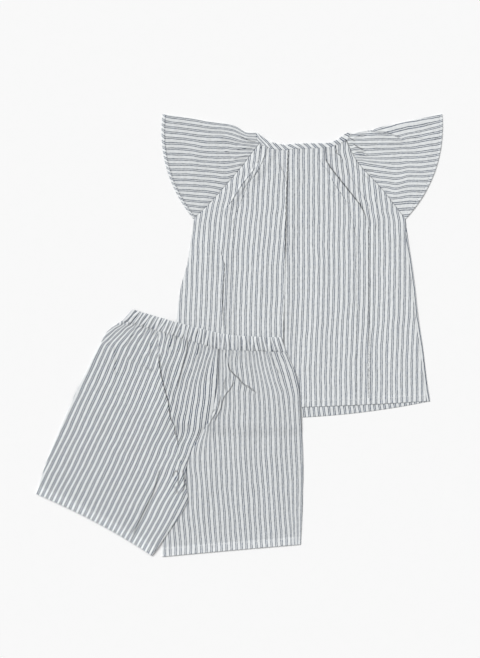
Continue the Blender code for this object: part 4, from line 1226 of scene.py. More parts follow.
def sleeve_surface(sections, side):
    """One sleeve's surface, folded over the shoulder."""

    def surface(places):
        """Its points, the cloth across and along the stripes, and its shade, at fractional rows."""
        body = cornered_rows(BODY_SECTIONS, places, UNDERARM)
        inner = body[:, 0:2] if side < 0 else body[:, 2:4]
        shoulder = smooth_rows(sections, places)
        outer, bow = shoulder[:, 0:2], shoulder[:, 2]
        if side > 0:
            notch = np.exp(-(((places - SHOULDER_NOTCH) / 0.3) ** 2)) * ease(places / 0.2)
            outer = outer + unit(inner - outer) * (SHOULDER_NOTCH_DEPTH * notch)[:, None]
        length = np.linalg.norm(outer - inner, axis=1)
        if side > 0:
            share, depth, mouth = fold_shares(
                lambda shares: on_row(inner, outer, bow, shares), SHOULDER_CREASE, down=False)
            at = np.clip(share * length, 5.0, length - 1.6)
            folds = [(at, depth, OVER_LEFT, mouth)]
            place, up, _, painted_shade, stretch = folded_rows(
                length - FRONT_ROOM, folds, CREASED_SLEEVE_COLUMNS, BEND_STEPS - 1, seam_last=False)
            shares = place / length[:, None]
        else:
            shares = plain_shares(SLEEVE_SEAM_SHARES, SLEEVE_COLUMNS, length)
            up, painted_shade = np.zeros_like(shares), np.zeros_like(shares)
        back_shares = np.linspace(0.0, 1.0, SLEEVE_BACK_COLUMNS)[None] * (1 - BACK_ROOM / length)[:, None]
        points = folded_panel((inner, outer, bow), lambda x, y: np.zeros_like(x), shares, back_shares, up)
        front_count = shares.shape[1]
        x, y = points[..., 0], points[..., 1]
        from_inner = shares * length[:, None]
        creases = LEFT_SLEEVE_CREASES if side < 0 else RIGHT_SLEEVE_CREASES
        front_x, front_y = x[:, :front_count], y[:, :front_count]
        soft, foot, slip = crease_relief(creases, front_x, front_y)
        soft += unevenness(front_x, front_y, 11.0 + side)
        soft *= ease(from_inner / 7.0) * ease((length[:, None] - from_inner) / RELIEF_MARGIN)
        soft *= ease(places / 0.35)[:, None]
        points[:, :front_count, 2] += soft - RAGLAN_GROOVE * (1 - ease(from_inner / GROOVE_WIDTH))
        points[:, -1, 2] += SEAM_BACK_LEVEL - BACK_LEVEL
        if side < 0:
            across = stripe_distance(LEFT_SLEEVE_GRAIN, x, y, down=False)
        else:
            main = stripe_distance(RIGHT_SLEEVE_GRAIN, x, y, down=False)
            tip = stripe_distance(RIGHT_SHOULDER_GRAIN, x, y, down=False)
            weight = np.zeros(x.shape[1])
            weight[:front_count][stretch >= 1] = 1.0
            weight[front_count:] = 1.0
            blend = weight[None] * ease((x - SHOULDER_GRAIN_FROM_X) / 8.0)
            across = main * (1 - blend) + tip * blend
        across[:, :front_count] += slip
        across = round_the_fold(points, across, front_count, -1)
        along = x * (-side)
        # Painted shade along the raglan seam, darker on the right sleeve and wider and darker still near its
        # neck, with the creases' shade.
        at_neck = (1 - ease(places / 1.1))[:, None] * (side > 0)
        seam_shade = 0.35 + 0.4 * (side > 0) + 0.4 * at_neck
        fade = ease((from_inner - 0.9 * at_neck) / (SEAM_SHADE_REACH + 0.5 * at_neck))
        painted_shade = painted_shade + foot + seam_shade * (1 - fade)
        painted_shade = np.pad(painted_shade, ((0, 0), (0, x.shape[1] - front_count)))
        return points, across, along, painted_shade

    return surface


def make_sleeve(name, sections, side, material):
    """One sleeve, and the line of its hem's stitches."""
    depth = SLEEVE_HEM_DEPTH
    steps = [(distance, 0.0) for distance in SLEEVE_HEM_PLACES]
    steps += [(distance, rise * TURN_UP) for distance, rise in HEM_EDGE] + [(2.4, TURN_UP), (4.2, TURN_UP)]
    last = UNDERARM
    plain = np.linspace(0.0, last - SLEEVE_PLAIN_END / MM_PER_SLEEVE_ROW, SLEEVE_ROWS)
    places = np.concatenate([plain, [last - distance / MM_PER_SLEEVE_ROW for distance, _ in steps]])
    rises = np.concatenate([np.zeros(len(plain)), [rise for _, rise in steps]])
    here, shift, (across, along, painted_shade) = behind_surface(sleeve_surface(sections, side), places, rises)
    from_edge = (last - places) * MM_PER_SLEEVE_ROW
    front = np.clip((here[..., 2] - BACK_LEVEL) / (FRONT_LEVEL - BACK_LEVEL), 0.0, 1.0)
    shown = 1.0 if side < 0 else 0.2
    roll = 0.3 * shown * (1 - ease((from_edge - depth) / 0.6)) * ease(from_edge / 1.6)
    groove = 0.25 * shown * np.exp(-(((from_edge - depth - 0.4) / 0.7) ** 2))
    here[..., 2] += front * (roll - groove)[:, None]
    here[..., 2] += front * pucker(along, from_edge, depth, 2.0 + side)
    away = unit(here[1] - here[0])
    here[0, :, :2] += away[:, :2] * NECK_GAP
    grid = here - side * shift
    front_part = grid[:, 3 : -PANEL_TURN_COLUMNS - SLEEVE_BACK_COLUMNS]
    stitches = hem_line(front_part, from_edge, rises == 0, depth - 0.3)
    double = (1 + 1.2 * shown) * (1 - ease((from_edge - depth) / 0.5))[:, None] * np.ones((1, here.shape[1]))
    # Painted shade along the rolled hem's stitch line, strong on the left sleeve and faint on the right.
    painted_shade = painted_shade + 0.35 * shown * front * np.exp(-(((from_edge - depth - 0.4) / 0.6) ** 2))[:, None]
    across = across + shown * 0.8 * np.maximum(depth - from_edge, 0.0)[:, None]
    return panel_piece(name, grid, (across, along), (double, painted_shade), material, side < 0), stitches


def make_neck_binding(material):
    """The bias strip folded over the neck edge, all round the neck."""
    count = BINDING_COLUMNS
    fine = smooth_rows(BINDING_SECTIONS, np.linspace(0, len(BINDING_SECTIONS) - 1, count))
    radius = (BINDING_HIGH - BINDING_LOW) / 2
    shares = np.linspace(0.0, 1.0, BINDING_ROWS)
    low, high = fine[:, 0:2], fine[:, 2:4]
    across_left = unit((low[0] - high[0])[None])[0]
    left_in = np.array((-across_left[1], across_left[0]))
    across_right = unit((low[-1] - high[-1])[None])[0]
    right_in = np.array((across_right[1], -across_right[0]))
    strips = []
    for share in shares:
        row = on_row(low, high, fine[:, 4], np.full((count, 1), share))[:, 0]
        inner = row[1:-1]
        wave = 0.18 * np.sin(np.arange(count - 2) * 0.9) * np.sin(np.arange(count - 2) * 0.23)
        front = with_height(inner, BINDING_HIGH + wave * math.sin(math.pi * share))
        back = with_height(inner[::-1], np.full(count - 2, BINDING_LOW))
        turns = [
            half_turn(end, inward, radius, BINDING_INSET, BINDING_LOW, BINDING_TURN_COLUMNS)
            for end, inward in ((row[-1], right_in), (row[0], left_in))
        ]
        strips.append(np.concatenate([front, turns[0], back, turns[1][::-1]]))
    middle = np.array(strips)
    middle = np.concatenate([middle, middle[:, :1]], 1)
    run = length_so_far(middle[BINDING_ROWS // 2])
    ring = middle[:, :-1]
    along = np.roll(ring, -1, 1) - np.roll(ring, 1, 1)
    upward = np.gradient(ring, axis=0)
    outward = unit(np.cross(along, upward))
    outward = np.concatenate([outward, outward[:, :1]], 1)
    # Across the strip: which row, how far past it, and how far out from the middle.
    section = [(0, -0.1, 0.3), (0, 0.0, 0.5)] + [(index, 0.0, 0.52) for index in range(1, 6)]
    section += [(6, -0.25, 0.45), (6, 0.05, 0.25), (6, 0.15, 0.0), (6, 0.05, -0.25), (6, -0.25, -0.45)]
    section += [(index, 0.0, -0.46) for index in range(5, -1, -1)]
    tops = unit(middle[-1] - middle[0])
    width = np.linalg.norm(middle[-1] - middle[0], axis=1)
    rows, distances = [], []
    for index, beyond, offset in section:
        side = offset * np.where(outward[index][:, 2:3] < -0.5, 0.85, 1.0)
        rows.append(middle[index] + tops * beyond + outward[index] * side)
        reach = width * shares[index] + beyond
        distances.append(reach if offset >= 0 else 2 * width - reach)
    grid = np.array(rows)
    strip = np.array(distances)
    s = run[None] * np.ones((len(section), 1))
    across = s * math.sin(BIAS_ANGLE) + strip * math.cos(BIAS_ANGLE)
    down = s * math.cos(BIAS_ANGLE) - strip * math.sin(BIAS_ANGLE)
    stripes = np.stack([across, down], -1)
    return cloth_piece("neck_bias_binding", grid, stripes, 1.0, 0.0, material, closed=True)


# ---- making the shorts
def gather_edges():
    """Where the waistband's gathers meet, as shares of its front, unevenly spaced."""
    gaps = np.array([1.0 + 0.3 * math.sin(index * 2.3) * math.sin(index * 0.7 + 1.0)
                     + 0.15 * math.sin(index * 4.1) for index in range(WAIST_GATHERS)])
    return np.concatenate([[0.0], np.cumsum(gaps)]) / gaps.sum()


def gather_height(share, sharpness):
    """The rise of the gathers at shares of the way along the waist, from 0 in a valley to 1, which gather
    each place is in, and how far across it."""
    edges = gather_edges()
    index = np.clip(np.searchsorted(edges, share, side="right") - 1, 0, WAIST_GATHERS - 1)
    within = (share - edges[index]) / (edges[index + 1] - edges[index])
    within = np.clip(within, 0.0, 1.0)
    size = 0.8 + 0.2 * np.sin(index * 1.9 + 0.5)
    return size * np.maximum(np.sin(np.pi * within), 0.0) ** sharpness, index, within


def leg_surface(sections, level, creases, side):
    """One leg's surface, from the waist seam to the hem and round its outer fold."""

    def surface(places):
        """Its points, the cloth across and along the stripes, and its shade, at fractional rows."""
        rows = cornered_rows(sections, places, CROTCH_ROW)
        inner, outer, bow = rows[:, 0:2], rows[:, 2:4], rows[:, 4]
        length = np.linalg.norm(outer - inner, axis=1)
        start = smooth_rows(sections, np.zeros(1))[0]
        if side < 0:
            share, depth, mouth = fold_shares(
                lambda shares: on_row(inner, outer, bow, shares), STRONG_TUCK)
            at = share * length + FOLD_WANDER * np.sin(inner[:, 1] * math.tau / FOLD_WANDER_LENGTH)
            at = np.clip(at, 12.0, length - 12.0)
            folds = [(at, depth, OVER_LEFT, STRONG_TUCK_MOUTH * mouth * beads(inner[:, 1]))]
            place, up, _, painted_shade, stretch = folded_rows(
                length - FRONT_ROOM, folds, TUCKED_LEG_COLUMNS, seam_last=False)
            shares = place / length[:, None]
        else:
            shares = plain_shares(LEG_SEAM_SHARES, LEG_COLUMNS, length)
            up, painted_shade = np.zeros_like(shares), np.zeros_like(shares)
        back_shares = np.linspace(0.0, 1.0, LEG_BACK_COLUMNS)[None] * (1 - BACK_ROOM / length)[:, None]
        points = folded_panel((inner, outer, bow), level, shares, back_shares, up)
        front_count = shares.shape[1]
        x, y = points[..., 0], points[..., 1]
        front_x, front_y = x[:, :front_count], y[:, :front_count]
        along_waist = WAIST_MIDDLE * (1 - shares) if side < 0 else WAIST_MIDDLE + (1 - WAIST_MIDDLE) * shares
        wave, index, _ = gather_height(along_waist, 1.0)
        waist = start[0:2] + (start[2:4] - start[0:2]) * shares[..., None]
        below = np.hypot(front_x - waist[..., 0], front_y - waist[..., 1])
        reach = LEG_GATHER_REACH + LEG_GATHER_MORE_REACH * (0.5 + 0.5 * np.sin(index * 2.7 + 0.8))
        gathers = LEG_GATHER_RISE * wave * np.exp(-below / reach)
        from_inner = shares * length[:, None]
        soft, foot, slip = crease_relief(creases, front_x, front_y)
        soft += unevenness(front_x, front_y, 21.0 + side)
        soft *= ease(from_inner / 6.0) * ease((length[:, None] - from_inner) / RELIEF_MARGIN)
        soft *= ease(below / 10.0)
        inseam = ease((places - CROTCH_ROW) / 0.3)[:, None]
        opened = ease((front_y - RISE_SHUT) / RISE_OPENS)
        groove = RISE_GROOVE * (0.25 + 0.75 * opened)
        seam = groove * (1 - inseam) + (FRONT_LEVEL - SEAM_FRONT_LEVEL) * inseam
        seam = seam * (1 - ease(from_inner / SEAM_FALL))
        seam = seam - 0.5 * opened * (1 - inseam) * np.exp(-(((from_inner - 3.2) / 1.6) ** 2))
        points[:, :front_count, 2] += soft + gathers - seam
        points[:, -1, 2] += SEAM_BACK_LEVEL - BACK_LEVEL
        if side < 0:
            across = stripe_distance(LEFT_LEG_GRAIN, x, y)
            centre = stripe_distance(LEFT_LEG_CENTRE_GRAIN, x, y)
            apart = 1 - ease((CENTRE_GRAIN_ENDS - y) / CENTRE_GRAIN_FADE)
            on_centre = across * (1 - apart) + centre * apart
            columns = np.flatnonzero(stretch == 1)
            first, last = columns[0], columns[-1]
            across[:, :first] = on_centre[:, :first]
            blend = np.linspace(0.0, 1.0, len(columns))[None]
            before, after = on_centre[:, first : first + 1], across[:, last : last + 1]
            across[:, columns] = before * (1 - blend) + after * blend
        else:
            across = stripe_distance(RIGHT_LEG_GRAIN, x, y) + RIGHT_LEG_STRIPES_START
        waver = cloth_noise(front_x / 7.0, front_y / 30.0, 1.0, 31.0 + side) - 0.5
        across[:, :front_count] += slip + WAVER * waver * np.exp(-below / WAVER_REACH)
        across = round_the_fold(points, across, front_count, side)
        # Painted shade along the seam between the legs, darker where it stands open, with the creases' shade
        # and shade in the valleys of the gathers below the waistband.
        painted_shade = painted_shade + (0.06 + 0.84 * opened) * (1 - inseam) * (1 - ease(from_inner / 1.1))
        painted_shade = painted_shade + foot + 0.4 * (1 - wave) ** 3 * np.exp(-below / (0.6 * reach))
        painted_shade = np.pad(painted_shade, ((0, 0), (0, x.shape[1] - front_count)))
        return points, across, -y, np.clip(painted_shade, 0.0, 1.0)

    return surface


def make_leg(name, sections, level, creases, side, material):
    """One leg, and the line of its hem's stitches."""
    depth = bpy.context.scene.pyjama_cloth.leg_hem_depth / MM
    surface = leg_surface(sections, level, creases, side)
    points, shift, (across, down, painted_shade), double, from_edge, rises = hemmed(
        surface, len(sections) - 1, MM_PER_LEG_ROW, LEG_ROWS, depth, CROTCH_ROW)
    base = level(points[..., 0], points[..., 1])
    front = np.clip((points[..., 2] - base - BACK_LEVEL) / (FRONT_LEVEL - BACK_LEVEL), 0.0, 1.0)
    pulls = pucker(across, from_edge, depth, 3.0 + side)
    points[..., 2] += front * (hem_lift(from_edge, depth)[:, None] + pulls)
    grid = points - side * shift
    grid[0, :, 1] -= 0.4
    front_part = grid[:, 3 : -PANEL_TURN_COLUMNS - LEG_BACK_COLUMNS]
    stitches = hem_line(front_part, from_edge, rises == 0, depth - 1.0)
    shades = (double * LEG_HEM_PALENESS, painted_shade)
    return panel_piece(name, grid, (across, down), shades, material, side < 0), stitches


def make_waistband(material):
    """The gathered casing with its elastic inside: a flattened ring with a puffed, gathered front."""
    edges = gather_edges()
    within = np.linspace(0.0, 1.0, WAIST_COLUMNS + 1)[:-1]
    within = 0.6 * (1 - np.cos(np.pi * within)) / 2 + 0.4 * within
    spots = np.concatenate([(edges[:-1, None] + np.diff(edges)[:, None] * within[None]).ravel(), [1.0]])
    run = length_so_far(np.array(WAIST_SECTIONS, float)[:, 0:2])
    fine = refined(WAIST_SECTIONS, 10)
    fine_run = np.interp(np.linspace(0, len(run) - 1, len(fine)), range(len(run)), run) / run[-1]
    sections = np.stack([np.interp(spots, fine_run, fine[:, column]) for column in range(4)], -1)
    low, high = sections[:, 0:2], sections[:, 2:4]
    wave, index, within_gather = gather_height(spots, 0.62)
    left_in = unit((low[4] - low[0])[None])[0]
    right_in = unit((low[-5] - low[-1])[None])[0]
    along = unit(np.gradient(low, axis=0))
    upward = unit(high - low)
    radius = (WAIST_FRONT_LEVEL + WAIST_END_RISE - WAIST_BACK_LEVEL) / 2
    shares = np.linspace(0.0, 1.0, WAIST_ROWS + 1)
    strips, painted_shade_rows = [], []
    kept = slice(WAIST_TRIM, -WAIST_TRIM)
    # Painted shade in the valleys of the gathers: deeper in some valleys than others, and more towards the
    # band's right end.
    darker_valleys = np.maximum(np.sin(index * 2.4 + 1.0), 0.0)[kept]
    valley_shade = 0.1 + 0.45 * darker_valleys * (0.35 + 0.65 * spots[kept])
    for share in shares:
        middle_share = math.sin(math.pi * share)
        lean = np.sin(index * 1.7 + 0.4) * (share - 0.5) * 1.8 + 0.7 * np.sin(index * 2.9 + 4.0 * share)
        scallop = 1.1 * (wave - 0.8) * ease((share - 0.8) / 0.2)
        scallop = scallop - 0.7 * (wave - 0.5) * ease((0.15 - share) / 0.15)
        row = low * (1 - share) + high * share + along * (lean * wave)[:, None] + upward * scallop[:, None]
        base = top_under(row[:, 0], row[:, 1])
        pinch = 0.5 + 0.5 * middle_share**0.5
        row_wave = wave * (0.82 + 0.18 * np.sin(index * 3.3 + 7.0 * share))
        z = base + WAIST_FRONT_LEVEL + WAIST_GATHER_RISE * row_wave * pinch + 0.35 * middle_share
        front = with_height(row, z)[kept]
        floor = base + WAIST_BACK_LEVEL
        back = with_height(row, floor)[::-WAIST_BACK_STEP][1:-1]
        turns = [
            half_turn(row[end], inward, radius, WAIST_INSET, floor[end], WAIST_TURN_COLUMNS)
            for end, inward in ((-1, right_in), (0, left_in))
        ]
        strips.append(np.concatenate([front, turns[0], back, turns[1][::-1]]))
        # Painted shade in each valley, and along the band's lower seam between the gathers.
        valley_floor = 1 - wave[kept]
        shadow = valley_shade * valley_floor**2 + 0.6 * valley_floor * ease((0.12 - share) / 0.12)
        painted_shade_rows.append(np.concatenate([shadow, np.zeros(len(strips[-1]) - len(shadow))]))
    middle = np.array(strips)
    middle = np.concatenate([middle, middle[:, :1]], 1)
    painted_shade = np.array(painted_shade_rows)
    painted_shade = np.concatenate([painted_shade, painted_shade[:, :1]], 1)
    count = len(spots) - 2 * WAIST_TRIM
    arc = length_so_far(middle[WAIST_ROWS // 2])
    numbers = np.arange(len(edges))
    cloth_edges = WAIST_CLOTH_START + WAIST_CLOTH * numbers + 0.8 * np.sin(numbers * 2.1)
    cloth = np.interp(spots[kept], edges, cloth_edges)
    cloth -= WAIST_CROWDING * np.sin(math.tau * within_gather[kept])
    cloth = np.concatenate([cloth, cloth[-1] + arc[count:] - arc[count - 1]])
    across = cloth[None] * np.ones((len(shares), 1))
    width = np.linalg.norm(high - low, axis=1).mean()
    down = -shares[:, None] * width * np.ones((1, across.shape[1]))
    under = middle[0] * 0.8 + middle[1] * 0.2 - (0.0, 0.0, 0.45)
    over = middle[-1] + unit(middle[-1] - middle[-2]) * 0.45
    over[:, 2] = middle[-1][:, 2] - 0.5
    grid = np.concatenate([under[None], middle, over[None]])
    across = np.concatenate([across[:1], across, across[-1:]])
    down = np.concatenate([down[:1] + 1, down, down[-1:] - 1])
    painted_shade = np.concatenate([painted_shade[:1], painted_shade, painted_shade[-1:]])
    stripes = np.stack([across, down], -1)
    return cloth_piece("gathered_waist_casing", grid, stripes, 1.0, painted_shade, material, closed=True)


# ---- stitches
def make_stitches(name, line, material, pitch, width):
    """A row of machine stitches along a line, each a low rounded bar of thread sunk in the cloth."""
    run = length_so_far(line)
    count = int(run[-1] / pitch)
    middles = (np.arange(count) + 0.5) * run[-1] / count
    half = STITCH_SHARE * run[-1] / count / 2
    starts, ends = (
        np.stack([np.interp(middles + shift, run, line[:, axis]) for axis in range(3)], -1)
        for shift in (-half, half)
    )
    along = ends - starts
    aside = unit(np.stack([-along[:, 1], along[:, 0], np.zeros(count)], -1)) * width
    bpy.ops.object.select_all(action="DESELECT")
    bpy.ops.mesh.primitive_cube_add(size=1.0)
    stitches = bpy.context.object
    stitches.name = name
    stitches.data.name = name
    bpy.ops.object.mode_set(mode="EDIT")
    bpy.ops.mesh.select_all(action="SELECT")
    bpy.ops.mesh.subdivide(number_cuts=1)
    bpy.ops.object.mode_set(mode="OBJECT")
    copies = stitches.modifiers.new("One for each stitch", "ARRAY")
    copies.count = count
    copies.use_relative_offset = False
    bpy.ops.object.modifier_apply(modifier=copies.name)
    corners = np.empty(len(stitches.data.vertices) * 3)
    stitches.data.vertices.foreach_get("co", corners)
    corners = corners.reshape(count, -1, 3)
    corners = corners / np.maximum(2 * np.linalg.norm(corners, axis=-1, keepdims=True), 1.0)
    shaped = ((starts + ends) / 2)[:, None] + corners[..., :1] * along[:, None]
    shaped = shaped + corners[..., 1:2] * aside[:, None]
    shaped[..., 2] += corners[..., 2] * STITCH_HEIGHT
    stitches.data.vertices.foreach_set("co", (shaped * MM).ravel())
    stitches.data.update()
    bpy.ops.object.shade_smooth()
    stitches.data.materials.append(material)
    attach(stitches, "root")
    return stitches


# ---- materials
FLAT_NOISE = {"noise_dimensions": "2D"}
TIMES = {"operation": "MULTIPLY"}
TIMES_PLUS = {"operation": "MULTIPLY_ADD"}


def add_node(tree, kind, settings=None, **links):
    """Adds a shader node with its settings; links name an input, by number after an underscore or by name,
    and hold a value or the output that feeds it."""
    node = tree.nodes.new("ShaderNode" + kind)
    for key, value in (settings or {}).items():
        setattr(node, key, value)
    for key, value in links.items():
        socket = node.inputs[int(key[1:])] if key[1:].isdigit() else node.inputs[key.replace("_", " ")]
        if isinstance(value, bpy.types.NodeSocket):
            tree.links.new(value, socket)
        else:
            socket.default_value = value
    return node


def new_material(name, **settings):
    """A new material, its tree of nodes, and its shader with settings on some of its inputs."""
    material = bpy.data.materials.new(name)
    material.use_nodes = True
    shader = material.node_tree.nodes["Principled BSDF"]
    for key, value in settings.items():
        shader.inputs[key.replace("_", " ")].default_value = value
    return material, material.node_tree, shader


def mottled_material(name, colour, scale, detail, darkest, **settings):
    """A material of one colour with a faint mottle."""
    material, tree, shader = new_material(name, **settings)
    place = add_node(tree, "TexCoord")
    mottle = add_node(tree, "TexNoise", Vector=place.outputs["Object"], Scale=scale, Detail=detail)
    tone = add_node(tree, "MapRange", _0=mottle.outputs["Fac"], _1=0.3, _2=0.7, _3=darkest, _4=1.0)
    toned = add_node(tree, "VectorMath", {"operation": "SCALE"}, Scale=tone.outputs[0])
    toned.inputs[0].default_value = linear(colour)[:3]
    tree.links.new(toned.outputs[0], shader.inputs["Base Color"])
    return material


def striped_poplin(name, shade=1.0, dye=1.0, spread=1.0):
    """Yarn-dyed cotton poplin, plain woven: two fine blue-grey lines side by side on a white ground, a little
    uneven where the yarn thickens, and matt with a faint fuzz. The threads are about 0.25 mm apart, too fine
    to show, so the weave is drawn at 0.7 mm. Shade lightens or darkens the cloth as light and shade painted
    on each piece, dye darkens its lines, and spread sets the two lines apart. Shade painted on the mesh
    darkens it further in folds, at seams and in gathers."""
    cloth = bpy.context.scene.pyjama_cloth
    material, tree, shader = new_material(
        name, Roughness=0.85, Specular_IOR_Level=0.25, Sheen_Weight=0.12, Sheen_Roughness=0.5)
    place = add_node(tree, "UVMap", {"uv_map": "cloth"})
    apart = add_node(tree, "SeparateXYZ", _0=place.outputs[0])
    across, along = apart.outputs[0], apart.outputs[1]
    stretched = add_node(tree, "CombineXYZ", _0=across, _1=add_node(
        tree, "Math", TIMES, _0=along, _1=0.35).outputs[0])
    slub = add_node(tree, "TexNoise", FLAT_NOISE, Vector=stretched.outputs[0],
                    Scale=900.0, Detail=1.0, Roughness=0.6)
    wander = add_node(tree, "TexNoise", FLAT_NOISE, Vector=place.outputs[0], Scale=90.0, Detail=1.0)
    drift = add_node(tree, "TexNoise", FLAT_NOISE, Vector=place.outputs[0], Scale=24.0, Detail=1.0)
    drifted = add_node(tree, "Math", TIMES_PLUS, _0=drift.outputs["Fac"], _1=0.0022, _2=across)
    sway = add_node(tree, "Math", TIMES_PLUS, _0=wander.outputs["Fac"], _1=0.0009, _2=drifted.outputs[0])
    phase = add_node(tree, "Math", {"operation": "DIVIDE"}, _0=sway.outputs[0], _1=cloth.repeat)
    part = add_node(tree, "Math", {"operation": "FRACT"}, _0=phase.outputs[0])
    centred = add_node(tree, "Math", {"operation": "SUBTRACT"}, _0=part.outputs[0], _1=0.5)
    mirrored = add_node(tree, "Math", {"operation": "ABSOLUTE"}, _0=centred.outputs[0])
    beside = add_node(tree, "Math", {"operation": "SUBTRACT"}, _0=mirrored.outputs[0],
                      _1=spread * cloth.line_spacing / 2 / cloth.repeat)
    distance = add_node(tree, "Math", {"operation": "ABSOLUTE"}, _0=beside.outputs[0])
    half = cloth.line_width / 2 / cloth.repeat
    line = add_node(tree, "MapRange", {"interpolation_type": "SMOOTHSTEP"}, _0=distance.outputs[0],
                    _1=half * 0.75, _2=half * 1.25, _3=1.0, _4=0.0)
    strength = add_node(tree, "MapRange", _0=slub.outputs["Fac"], _1=0.3, _2=0.7,
                        _3=0.74 * dye, _4=1.1 * dye)
    lines = add_node(tree, "Math", TIMES, _0=line.outputs[0], _1=strength.outputs[0])
    mottle = add_node(tree, "TexNoise", FLAT_NOISE, Vector=place.outputs[0],
                      Scale=160.0, Detail=3.0, Roughness=0.65)
    paler = add_node(tree, "Attribute", {"attribute_name": "double"})
    tone = add_node(tree, "MapRange", _0=mottle.outputs["Fac"], _1=0.3, _2=0.7,
                    _3=0.84 * shade, _4=0.94 * shade)
    tone_double = add_node(tree, "Math", TIMES_PLUS, _0=paler.outputs["Fac"], _1=0.05, _2=tone.outputs[0])
    weave = []
    for source in (across, along):
        scaled = add_node(tree, "Math", TIMES, _0=source, _1=math.tau / 0.0014)
        weave.append(add_node(tree, "Math", {"operation": "SINE"}, _0=scaled.outputs[0]))
    threads = add_node(tree, "Math", TIMES, _0=weave[0].outputs[0], _1=weave[1].outputs[0])
    faded = add_node(tree, "TexNoise", FLAT_NOISE, Vector=place.outputs[0], Scale=140.0, Detail=1.0)
    share_faded = add_node(tree, "MapRange", _0=faded.outputs["Fac"], _1=0.35, _2=0.65, _3=0.0, _4=1.0)
    yarn = add_node(tree, "Mix", {"data_type": "RGBA"}, _0=share_faded.outputs[0],
                    _6=linear(cloth.line), _7=linear(cloth.faded_line))
    ground = add_node(tree, "Mix", {"data_type": "RGBA"}, _0=lines.outputs[0],
                      _6=linear(cloth.ground), _7=yarn.outputs[2])
    # Painted shade: the colour is darkened by up to 0.72 of itself where the mesh's painted shade attribute
    # is 1.
    deep = add_node(tree, "Attribute", {"attribute_name": "painted_shade"})
    unlit = add_node(tree, "Math", TIMES_PLUS, _0=deep.outputs["Fac"], _1=-0.72, _2=1.0)
    seen = add_node(tree, "Math", TIMES, _0=unlit.outputs[0], _1=tone_double.outputs[0])
    toned = add_node(tree, "VectorMath", {"operation": "SCALE"}, _0=ground.outputs[2],
                     Scale=seen.outputs[0])
    tree.links.new(toned.outputs[0], shader.inputs["Base Color"])
    crumple = add_node(tree, "TexNoise", FLAT_NOISE, Vector=place.outputs[0],
                       Scale=130.0, Detail=4.0, Roughness=0.6)
    crumple_height = add_node(tree, "Math", TIMES, _0=crumple.outputs["Fac"], _1=0.0011)
    height = add_node(tree, "Math", TIMES_PLUS, _0=threads.outputs[0],
                      _1=0.00003, _2=crumple_height.outputs[0])
    bump = add_node(tree, "Bump", Height=height.outputs[0], Distance=1.0, Strength=0.8)
    tree.links.new(bump.outputs[0], shader.inputs["Normal"])
    return material


def sewing_thread(name, colour):
    """Spun polyester thread, two-ply and slightly glossy: fine slanting twists too small to see, drawn as a
    faint mottle."""
    return mottled_material(name, colour, 1800.0, 1.0, 0.85, Roughness=0.6)


def painted_board(name, colour):
    """A matt painted board, rolled smooth, with a faint unevenness."""
    return mottled_material(name, colour, 60.0, 2.0, 0.995, Roughness=0.9, Specular_IOR_Level=0.1)


def finish_for(name, maker, *details):
    """A material by its name, made the first time it is asked for."""
    return bpy.data.materials.get(name) or maker(name, *details)


def hem_stitches(name, line):
    """A hem's row of stitches in white thread."""
    thread = finish_for("white sewing thread", sewing_thread, WHITE_THREAD)
    return make_stitches(name, line, thread, bpy.context.scene.pyjama_cloth.stitch_pitch / MM, 0.6)


def settle(piece, node):
    """Puts a finished piece in place of its solid."""
    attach(piece, "root")
    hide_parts(node)


# ---- the operators
class PYJAMA_OT_top_back(bpy.types.Operator):
    """Cut and hem the top's back, and roll its right edge on to the front"""

    bl_idname = "pyjama.top_back"
    bl_label = "Top back"

    def execute(self, context):
        # Its copy of the poplin is darkened, as painted shade.
        piece, hem = make_top_back(finish_for("yarn-dyed poplin, wrong side", striped_poplin, 0.93, 0.96))
        settle(piece, "top_back")
        stitches = hem_stitches("back_hem_stitches", hem)
        return {"FINISHED"}


class PYJAMA_OT_top_front(bpy.types.Operator):
    """Lay the top's front in its pleats and tucks, and hem it"""

    bl_idname = "pyjama.top_front"
    bl_label = "Top front"

    def execute(self, context):
        # Its copy of the poplin is made a little lighter, as painted light.
        piece, hem = make_top_front(finish_for("yarn-dyed poplin, body", striped_poplin, 1.015, 0.88))
        settle(piece, "top_front")
        stitches = hem_stitches("front_hem_stitches", hem)
        return {"FINISHED"}


class PYJAMA_OT_sleeves(bpy.types.Operator):
    """Fold both raglan sleeves over the shoulders and roll their hems"""

    bl_idname = "pyjama.sleeves"
    bl_label = "Raglan sleeves"

    def execute(self, context):
        # Each sleeve's copy of the poplin is darkened as painted shade, the left more than the right.
        for name, sections, side, shade, thread_width in (
            ("left", LEFT_SLEEVE, -1, 0.935, 0.95),
            ("right", RIGHT_SLEEVE, 1, 0.985, 0.4),
        ):
            cotton = finish_for(f"yarn-dyed poplin, {name} sleeve", striped_poplin, shade, 0.83)
            piece, hem = make_sleeve(f"{name}_raglan_sleeve", sections, side, cotton)
            settle(piece, f"sleeve_{name}")
            # The sleeve hems' stitches in dark blue-grey thread, drawn wider on the left sleeve: partly the
            # real stitches, partly painted shade along their line.
            thread = finish_for("blue-grey sewing thread", sewing_thread, BLUE_GREY_THREAD_WITH_PAINTED_SHADE)
            stitches = make_stitches(f"{name}_sleeve_hem_stitches", hem, thread, 4.2, thread_width)
        return {"FINISHED"}


class PYJAMA_OT_neck_binding(bpy.types.Operator):
    """Bind the neck edge with a bias strip"""

    bl_idname = "pyjama.neck_binding"
    bl_label = "Neck binding"

    def execute(self, context):
        # Its copy of the poplin is a little darker, as painted shade.
        piece = make_neck_binding(finish_for("bias-cut poplin binding", striped_poplin, 0.98))
        settle(piece, "neck_binding")
        return {"FINISHED"}


